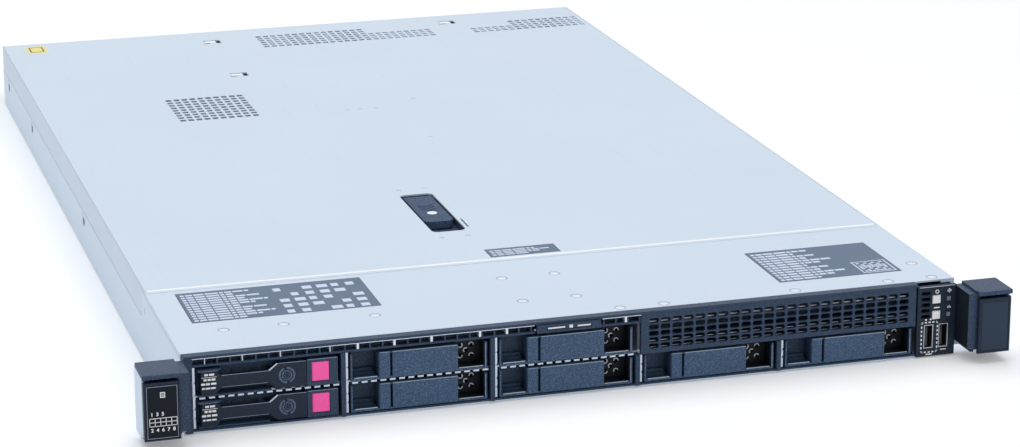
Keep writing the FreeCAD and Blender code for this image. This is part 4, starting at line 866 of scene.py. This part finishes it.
def addHoodTrim(low, high):
    # painted highlight: pale raised lip along the hood's rear edge, where the fold catches the
    # light
    gap = sheetTrim["lipEndGap"]
    lip = addPlate((low[0] + gap, high[1] - sheetTrim["lipWidth"], high[2] - sink),
                   (high[0] - gap, high[1] - 0.1, high[2] + 0.06), 0.05, 0.4, 0.0, up)
    finishPiece(lip, "hoodRearLipHighlight", "paintedHighlightSteel", "chassis")
    # painted shade: dark sheets behind the rail slots
    forwards, backwards, tall = sheetTrim["shadeSheetReach"]
    z = sheetTrim["slotZ"]
    shadeSheets = []
    for side in (-1, 1):
        for y in sheetTrim["slotRows"]:
            inner, outer = sorted(side * (high[0] - depth) for depth in sheetTrim["shadeSheetDepths"])
            shadeSheets.append(addPlate((inner, y - forwards, z - tall), (outer, y + backwards, z + tall),
                                  0.05, 0.5, 0.0, (side, 0, 0)))
    finishPiece(joinAll(shadeSheets), "slotShadeSheets", "paintedShadeBlack", "chassis")


def addHooks(top):
    # painted shade: dark wells under the cover's lanced hooks, and painted highlight: the hooks'
    # pale tabs
    left, right, forwards, backwards = sheetTrim["wellReach"]
    deep, shallow = sheetTrim["wellDepths"]
    wells = [addPlate((x - left, y - forwards, top - deep),
                      (x + right, y + backwards, top - shallow), 0.2, 0.8, -0.3, up)
             for x, y in sheetTrim["hooks"]]
    finishPiece(joinAll(wells), "hookShadeWells", "paintedShadeBlack", "cover")
    left, right, forwards, backwards = sheetTrim["tabReach"]
    tabs = [addPlate((x - left, y - forwards, top - sink),
                     (x + right, y + backwards, top + sheetTrim["tabHeight"]), 0.2)
            for x, y in sheetTrim["hooks"]]
    finishPiece(joinAll(tabs), "hookTabHighlights", "paintedHighlightSteel", "cover")


def addSheetTrim():
    addRivetRims()
    low, high = boxOf("access_cover")
    addCoverEdges(low, high)
    addHoodTrim(*boxOf("front_hood"))
    addHooks(high[2])
    print("sheet trim done")


# cross bars that divide the cover's slots into cells
ventGrille = {
    "areas": ((-132, -77, 453, 513, 9), (-34, 48.5, 641, 678, 6), (48.5, 97.5, 641, 663, 4),
              (126, 159, 641, 656, 3), (159, 214, 641, 671, 5)),
    "bar": 2.6,
    "sheet": 1.0,
}


def addVentBars():
    top = boxOf("access_cover")[1][2]
    bar = ventGrille["bar"]
    bars = []
    for x0, x1, y0, y1, cells in ventGrille["areas"]:
        pitch = (y1 - y0) / cells
        first = addBlock((x0, y0 + pitch - bar / 2, top - ventGrille["sheet"] + sink),
                         (x1, y0 + pitch + bar / 2, top - sink))
        applyModifier(first, "ARRAY", count=cells - 1, use_relative_offset=False,
                      use_constant_offset=True, constant_offset_displace=(0, pitch * mm, 0))
        bars.append(first)
    finishPiece(joinAll(bars), "coverVentBars", "coverSteel", "cover")
    print("vent bars done")


# bezel: bright lip under the top band, and the lanced tabs behind the slotted strip
bezelTrim = {
    "lipDrop": 1.5,
    "lipHeight": 0.4,
    "lipDepth": 0.5,
    "lipRound": 0.12,
    "lipGap": 1.2,
    "tabOffsets": (6.7, 26.5, 46.7, 73.2),
    "firstTabWidth": 0.52,
    "tabWidth": 1.3,
    "tabZ": (37.6, 41.3),
    "tabDepths": (0.5, 4.6),
    "tabRound": 0.25,
    "tabClear": 2.0,
    "columnPitch": 81.4,
    "stackedColumns": 3,
}


def addBezelTrim():
    low, high = boxOf("front_bezel")
    cageLow = boxOf("drive_cage")[0]
    tabLow, tabHigh = boxOf("info_tab")
    lipTop = high[2] - bezelTrim["lipDrop"]
    front = low[1]
    gap = bezelTrim["lipGap"]
    # the lip runs on both sides of the info tab
    lip = joinAll([addBlock((x0, front, lipTop - bezelTrim["lipHeight"]),
                            (x1, front + bezelTrim["lipDepth"], lipTop + sink))
                   for x0, x1 in ((cageLow[0], tabLow[0] - gap),
                                  (tabHigh[0] + gap, boxOf("media_bay_blank")[0][0]))])
    applyModifier(lip, "BEVEL", width=bezelTrim["lipRound"] * mm, segments=2)
    finishPiece(lip, "bezelLip", "cageSteel", "chassis")
    bottom, top = bezelTrim["tabZ"]
    near, far = bezelTrim["tabDepths"]
    clear = bezelTrim["tabClear"]
    tabs = []
    for column in range(bezelTrim["stackedColumns"]):
        half = (bezelTrim["tabWidth"] if column else bezelTrim["firstTabWidth"]) / 2
        for offset in bezelTrim["tabOffsets"]:
            x = cageLow[0] + column * bezelTrim["columnPitch"] + offset
            if tabLow[0] - clear < x < tabHigh[0] + clear:
                continue
            tabs.append(addBlock((x - half, front + near, bottom), (x + half, front + far, top)))
    tab = joinAll(tabs)
    applyModifier(tab, "BEVEL", width=bezelTrim["tabRound"] * mm, segments=2)
    finishPiece(tab, "bezelTabs", "brightTab", "chassis")
    print("bezel trim done")


# drive carriers: printed pad, painted highlight on the flare edge, ring segments
carrierMarks = {
    # printed dashes on the pad: left, right, low, high
    "pad": ((6.2, 8.2, 11.2, 12.3), (8.7, 11.4, 11.2, 12.3), (4.6, 12.6, 10.2, 10.45),
            (5.8, 7.4, 8.5, 9.6), (7.9, 9.5, 8.5, 9.6), (9.9, 11.9, 8.5, 9.6),
            (4.4, 6.6, 6.2, 7.3), (7.0, 9.0, 6.2, 7.3), (9.6, 12.4, 6.2, 7.3),
            (4.8, 6.2, 3.9, 4.8), (6.6, 9.2, 3.9, 4.8), (9.6, 12.0, 3.9, 4.8)),
    "flareFrom": (40.2, 10.8),
    "flareTo": (44.7, 14.3),
    "flareWidth": 0.7,
    "flareDepths": (0.35, 0.3),
    # lit edges: bar top, grip top, block top, bar bottom, pad top
    "edges": ((15.2, 40.2, 10.62, 10.86), (45.0, 60.0, 14.1, 14.34), (60.7, 76.8, 14.4, 14.64),
              (15.2, 39.6, 4.24, 4.42), (3.0, 13.5, 13.6, 13.78)),
    "leverEnd": 60.0,
    "ringX": 49.8,
    "ring": (4.45, 3.4, 0.35),      # outer and inner radius, thickness
    "ringGaps": (100, 280),
    "disc": (2.75, 2.1, 0.3),
    "dots": 6,
    "dotsRadius": 1.2,
    "dotHalf": 0.3,
    "faceHeight": 14.6,
    "faceTop": 0.3,
    "edgeOffset": 2.6,
}


def addFlare(left, low, front):
    # painted highlight: a pale strip laid along the slanting edge of the lever's grip
    (xa, za), (xb, zb) = carrierMarks["flareFrom"], carrierMarks["flareTo"]
    length = math.hypot(xb - xa, zb - za)
    width = carrierMarks["flareWidth"]
    near, far = carrierMarks["flareDepths"]
    piece = addBlock((-length / 2, -near, -width / 2), (length / 2, far, width / 2))
    piece.location = ((left + (xa + xb) / 2) * mm, front * mm, (low + (za + zb) / 2) * mm)
    piece.rotation_euler = (0, -math.atan2(zb - za, xb - xa), 0)
    applyPlace()
    applyModifier(piece, "BEVEL", width=0.15 * mm, segments=2)
    return piece


def addEdgeStrips(edges, left, low, front):
    # fine rounded strips where a moulded edge catches the light
    return [addPlate((left + x0, front - 0.04, low + z0), (left + x1, front + 0.1, low + z1), 0.04)
            for x0, x1, z0, z1 in edges]


def addLeverRing(x, z, front):
    outer, inner, thickness = carrierMarks["ring"]
    ring = addRing(x, z, front + 0.1, outer, inner, thickness, carrierMarks["ringGaps"])
    outer, inner, thickness = carrierMarks["disc"]
    pieces = [ring, addRing(x, z, front + 0.05, outer, inner, thickness)]
    radius, half = carrierMarks["dotsRadius"], carrierMarks["dotHalf"]
    for k in range(carrierMarks["dots"]):
        turn = math.radians(360 / carrierMarks["dots"] * k)
        dotX, dotZ = x + radius * math.cos(turn), z + radius * math.sin(turn)
        pieces.append(addPlate((dotX - half, front - 0.1, dotZ - half),
                               (dotX + half, front + 0.1, dotZ + half), 0.08))
    return joinAll(pieces)


def addCarrierMarks(number):
    body = "carrier_lever_%d" % number
    low, high = boxOf(body)
    left = boxOf("drive_carrier_%d" % number)[0][0] - carrierMarks["edgeOffset"]
    base = high[2] + carrierMarks["faceTop"] - carrierMarks["faceHeight"]
    front = low[1]
    strokes = [(left + a, left + b, base + c, base + d) for a, b, c, d in carrierMarks["pad"]]
    finishPiece(addStrokes(strokes, front, 0.05), "leverPrint%d" % number, "whiteInk", body)
    finishPiece(addFlare(left, base, front + 0.1), "leverFlareHighlight%d" % number, "paintedHighlightPlastic", body)
    end = carrierMarks["leverEnd"]
    onLever = [edge for edge in carrierMarks["edges"] if edge[0] < end]
    onBlock = [edge for edge in carrierMarks["edges"] if edge[0] >= end]
    for edges, name, rider in ((onLever, "leverEdges", body),
                               (onBlock, "carrierEdge", "carrier_%d" % number)):
        finishPiece(joinAll(addEdgeStrips(edges, left, base, front)), name + str(number),
                    "edgePlastic", rider)
    ring = addLeverRing(left + carrierMarks["ringX"], base + carrierMarks["faceHeight"] / 2, front)
    finishPiece(ring, "leverRing%d" % number, "ringPlastic", body)


# blanks: lit edges, and painted highlights as pale lips and rings round the holes of the grip
# pocket
blankTrim = {
    "bays": (3, 4, 5, 6, 7, 8),
    "plateRight": 58.2,
    "edges": ((22.7, 58.1, 14.22, 14.62), (15.6, 21.1, 14.3, 14.6), (73.25, 73.5, 1.0, 13.8)),
    "lips": ((2.0, 14.4, 1.0, 1.45), (59.0, 72.4, 1.0, 1.4)),
    "lipDepth": 1.0,
    "pocketDepth": 10.5,
    "holes": ((4.1, 3.1), (10.2, 3.1), (7.1, 0.2), (4.1, -2.8), (10.2, -2.8)),
    "holeOuter": 1.45,
    "holeInner": 0.85,
    # each ring is an open arc: where its gap starts, and the steps that widen it, in degrees
    "arcStarts": (60, 200, 250, 20, 220),
    "arcSteps": [18 * k for k in range(9)],
}


def addBlankTrim(bay):
    low, high = boxOf("drive_blank_%d" % bay)
    left, base, front = low[0], high[2] - carrierMarks["faceHeight"], low[1]
    body = "blank_%d" % bay
    edges = joinAll(addEdgeStrips(blankTrim["edges"], left, base, front))
    finishPiece(edges, "blankEdges%d" % bay, "edgePlastic", body)
    lips = addEdgeStrips(blankTrim["lips"], left, base, front + blankTrim["lipDepth"])
    back = front + blankTrim["pocketDepth"]
    middle = base + carrierMarks["faceHeight"] / 2
    for (x, z), start in zip(blankTrim["holes"], blankTrim["arcStarts"]):
        lips.append(addRing(left + blankTrim["plateRight"] + x, middle + z, back - 0.1,
                            blankTrim["holeOuter"], blankTrim["holeInner"], 0.2,
                            [start + step for step in blankTrim["arcSteps"]]))
    finishPiece(joinAll(lips), "blankLipHighlights%d" % bay, "paintedHighlightPlastic", body)


# painted highlight: bright shelf edges seen through the grille of the wide bay
grilleHighlightBars = {
    "spans": ((35.5, 36.1), (24.4, 25.0), (20.8, 21.3)),      # low and high
    "behind": 3.0,
    "thick": 0.6,
    "inset": 4.0,
}


def addGrilleBars():
    low, high = boxOf("media_bay_blank")
    inset = grilleHighlightBars["inset"]
    y = low[1] + grilleHighlightBars["behind"]
    bars = [addPlate((low[0] + inset, y, z0), (high[0] - inset, y + grilleHighlightBars["thick"], z1), 0.1)
            for z0, z1 in grilleHighlightBars["spans"]]
    finishPiece(joinAll(bars), "grilleHighlightBars", "paintedHighlightSteel", "chassis")
    print("grille bars done")


# info tab, front panel and ears
panelMarks = {
    # strokes printed on the info tab, from its lower left corner: left, right, low, high
    "tabStrokes": ((6.1, 15.6, 1.9, 2.7), (22.6, 29.9, 1.9, 2.7), (18.0, 20.0, 1.5, 3.3)),
    "tabSunk": 0.5,
    "buttonX": 205.1,
    "powerZ": 33.0,
    "locatorZ": 23.9,
    "ringZ": 37.6,
    "ring": (1.15, 0.72, 0.06),
    "plusX": 212.4,
    "plusZ": 37.7,
    "plusHalf": 1.2,
    "barsZ": 28.2,
    # three bars round that height, from the plus sign's middle: left, right, low, high
    "bars": ((-0.9, -0.4, -0.7, 0.4), (-0.1, 0.4, -0.7, 0.9), (0.7, 1.2, -0.7, 0.1)),
    "strokes": ((203.4, 206.8, 28.0, 28.7), (198.4, 199.4, 21.3, 22.2),
                (201.2, 202.2, 21.3, 22.2), (199.4, 203.2, 1.2, 1.8), (208.0, 211.6, 3.4, 3.9)),
    "lampX": 212.2,
    "lampSize": (2.2, 2.4),
    "lampDepths": (0.1, 0.4),
    "socketFrame": (196.1, 206.3, 2.4, 20.5),
    "dash": 1.25,
    "line": 0.75,
    # lit upper edge: gaps at the left and right, and how far below the top it runs
    "edgeGaps": (1.0, 0.8),
    "edgeDrop": (0.6, 0.2),
}


def addInfoTabMarks():
    low = boxOf("info_tab")[0]
    strokes = [(low[0] + a, low[0] + b, low[2] + c, low[2] + d)
               for a, b, c, d in panelMarks["tabStrokes"]]
    finishPiece(addStrokes(strokes, low[1] + panelMarks["tabSunk"], 0.06), "infoTabPrint",
                "whiteInk", "info_tab")


def dashStarts(low, high):
    # where the dashes begin along one side of a frame
    dash = panelMarks["dash"]
    count = int((high - low) / (2 * dash))
    return [low + n * (high - low - dash) / count for n in range(count + 1)]


def dashes(x0, x1, z0, z1):
    # a printed frame broken into dashes
    dash, line = panelMarks["dash"], panelMarks["line"]
    strokes = [(x, x + dash, z, z + line) for z in (z0, z1 - line) for x in dashStarts(x0, x1)]
    strokes += [(x, x + line, z, z + dash) for x in (x0, x1 - line) for z in dashStarts(z0, z1)]
    return strokes


def addPanelMarks():
    low, high = boxOf("io_bezel")
    front = low[1]
    line, half = panelMarks["line"], panelMarks["plusHalf"]
    x, z = panelMarks["plusX"], panelMarks["plusZ"]
    strokes = [(x - half, x + half, z - line / 2, z + line / 2),
               (x - line / 2, x + line / 2, z - half, z + half)]
    z = panelMarks["barsZ"]
    strokes += [(x + a, x + b, z + c, z + d) for a, b, c, d in panelMarks["bars"]]
    strokes += panelMarks["strokes"]
    strokes += dashes(*panelMarks["socketFrame"])
    prints = addStrokes(strokes, front, 0.05)
    ring = addRing(panelMarks["buttonX"], panelMarks["ringZ"], front - sink, *panelMarks["ring"])
    finishPiece(joinAll([prints, ring]), "panelPrint", "whiteInk", "chassis")
    x, (wide, tall) = panelMarks["lampX"], panelMarks["lampSize"]
    near, far = panelMarks["lampDepths"]
    lamps = [addPlate((x - wide / 2, front + near, z - tall / 2),
                      (x + wide / 2, front + far, z + tall / 2), 0.1, 0.35, -0.1)
             for z in (panelMarks["powerZ"], panelMarks["locatorZ"])]
    finishPiece(joinAll(lamps), "panelLamps", "lampWindow", "chassis")
    left, right = panelMarks["edgeGaps"]
    bottom, top = panelMarks["edgeDrop"]
    edge = addPlate((low[0] + left, front - 0.04, high[2] - bottom),
                    (high[0] - right, front + 0.2, high[2] - top), 0.1)
    finishPiece(edge, "panelEdge", "paintedHighlightPlastic", "chassis")
    print("front panel done")


earPanels = {
    "edge": 1.0,
    "top": 1.6,
    "fit": 0.05,
    "sunk": 0.15,
    "thick": 0.33,
    "rimInset": 0.5,
    "line": 0.25,
    "finishes": {"left": ("panelGloss", "edgePlastic"), "right": ("panelMatt", "panelGloss")},
    "digits": (("135", 20.3), ("24678", 11.7)),       # each row's digits and height
    "digitSize": 2.7,
    "gridX": (-238.3, -223.8),
    "gridZ": (13.7, 18.3),
    "gridLine": 0.32,
    "iconZ": 30.6,
    "iconHalf": (1.3, 1.5),
    "iconLine": 0.4,
    "iconBars": ((-0.7, 0.7, -0.7, -0.35), (-0.7, 0.7, 0.3, 0.65)),
}


def addEarPanel(side):
    body = side + "_ear_lever"
    low, high = boxOf(body)
    panelFinish, rimFinish = earPanels["finishes"][side]
    edge, top, fit = earPanels["edge"], earPanels["top"], earPanels["fit"]
    shown = low[1] + earPanels["sunk"]
    panel = addPlate((low[0] + edge + fit, shown, low[2] + edge + fit),
                     (high[0] - edge - fit, shown + earPanels["thick"], high[2] - top - fit), 0.1)
    finishPiece(panel, side + "EarPanel", panelFinish, body)
    inset = edge + earPanels["rimInset"]
    strokes = addFrame(low[0] + inset, high[0] - inset, low[2] + inset,
                       high[2] - top - earPanels["rimInset"], earPanels["line"])
    rim = [addBlock((x0, shown - 0.06, z0), (x1, shown + sink, z1)) for x0, x1, z0, z1 in strokes]
    finishPiece(joinAll(rim), side + "EarRim", rimFinish, body)
    return shown


def addEarMarks():
    face = addEarPanel("left")
    addEarPanel("right")
    x0, x1 = earPanels["gridX"]
    z0, z1 = earPanels["gridZ"]
    line = earPanels["gridLine"]
    cell = (x1 - x0 - line) / 5
    strokes = [(x0 + n * cell, x0 + n * cell + line, z0, z1) for n in range(6)]
    for k in range(3):
        z = z0 + k * (z1 - z0 - line) / 2
        strokes.append((x0, x1, z, z + line))
    x, z = (x0 + x1) / 2, earPanels["iconZ"]
    wide, tall = earPanels["iconHalf"]
    strokes += addFrame(x - wide, x + wide, z - tall, z + tall, earPanels["iconLine"])
    strokes += [(x + a, x + b, z + c, z + d) for a, b, c, d in earPanels["iconBars"]]
    pieces = [addStrokes(strokes, face, 0.05)]
    for digits, z in earPanels["digits"]:
        for n, digit in enumerate(digits):
            pieces.append(addDigit(digit, x0 + (n + 0.5) * cell, z, face - sink,
                                   earPanels["digitSize"]))
    finishPiece(joinAll(pieces), "earPrint", "whiteInk", "left_ear_lever")
    print("ears done")


addTopMarks()
addSheetTrim()
addVentBars()
addBezelTrim()
for carrier in (1, 2):
    addCarrierMarks(carrier)
for bay in blankTrim["bays"]:
    addBlankTrim(bay)
addGrilleBars()
addInfoTabMarks()
addPanelMarks()
addEarMarks()
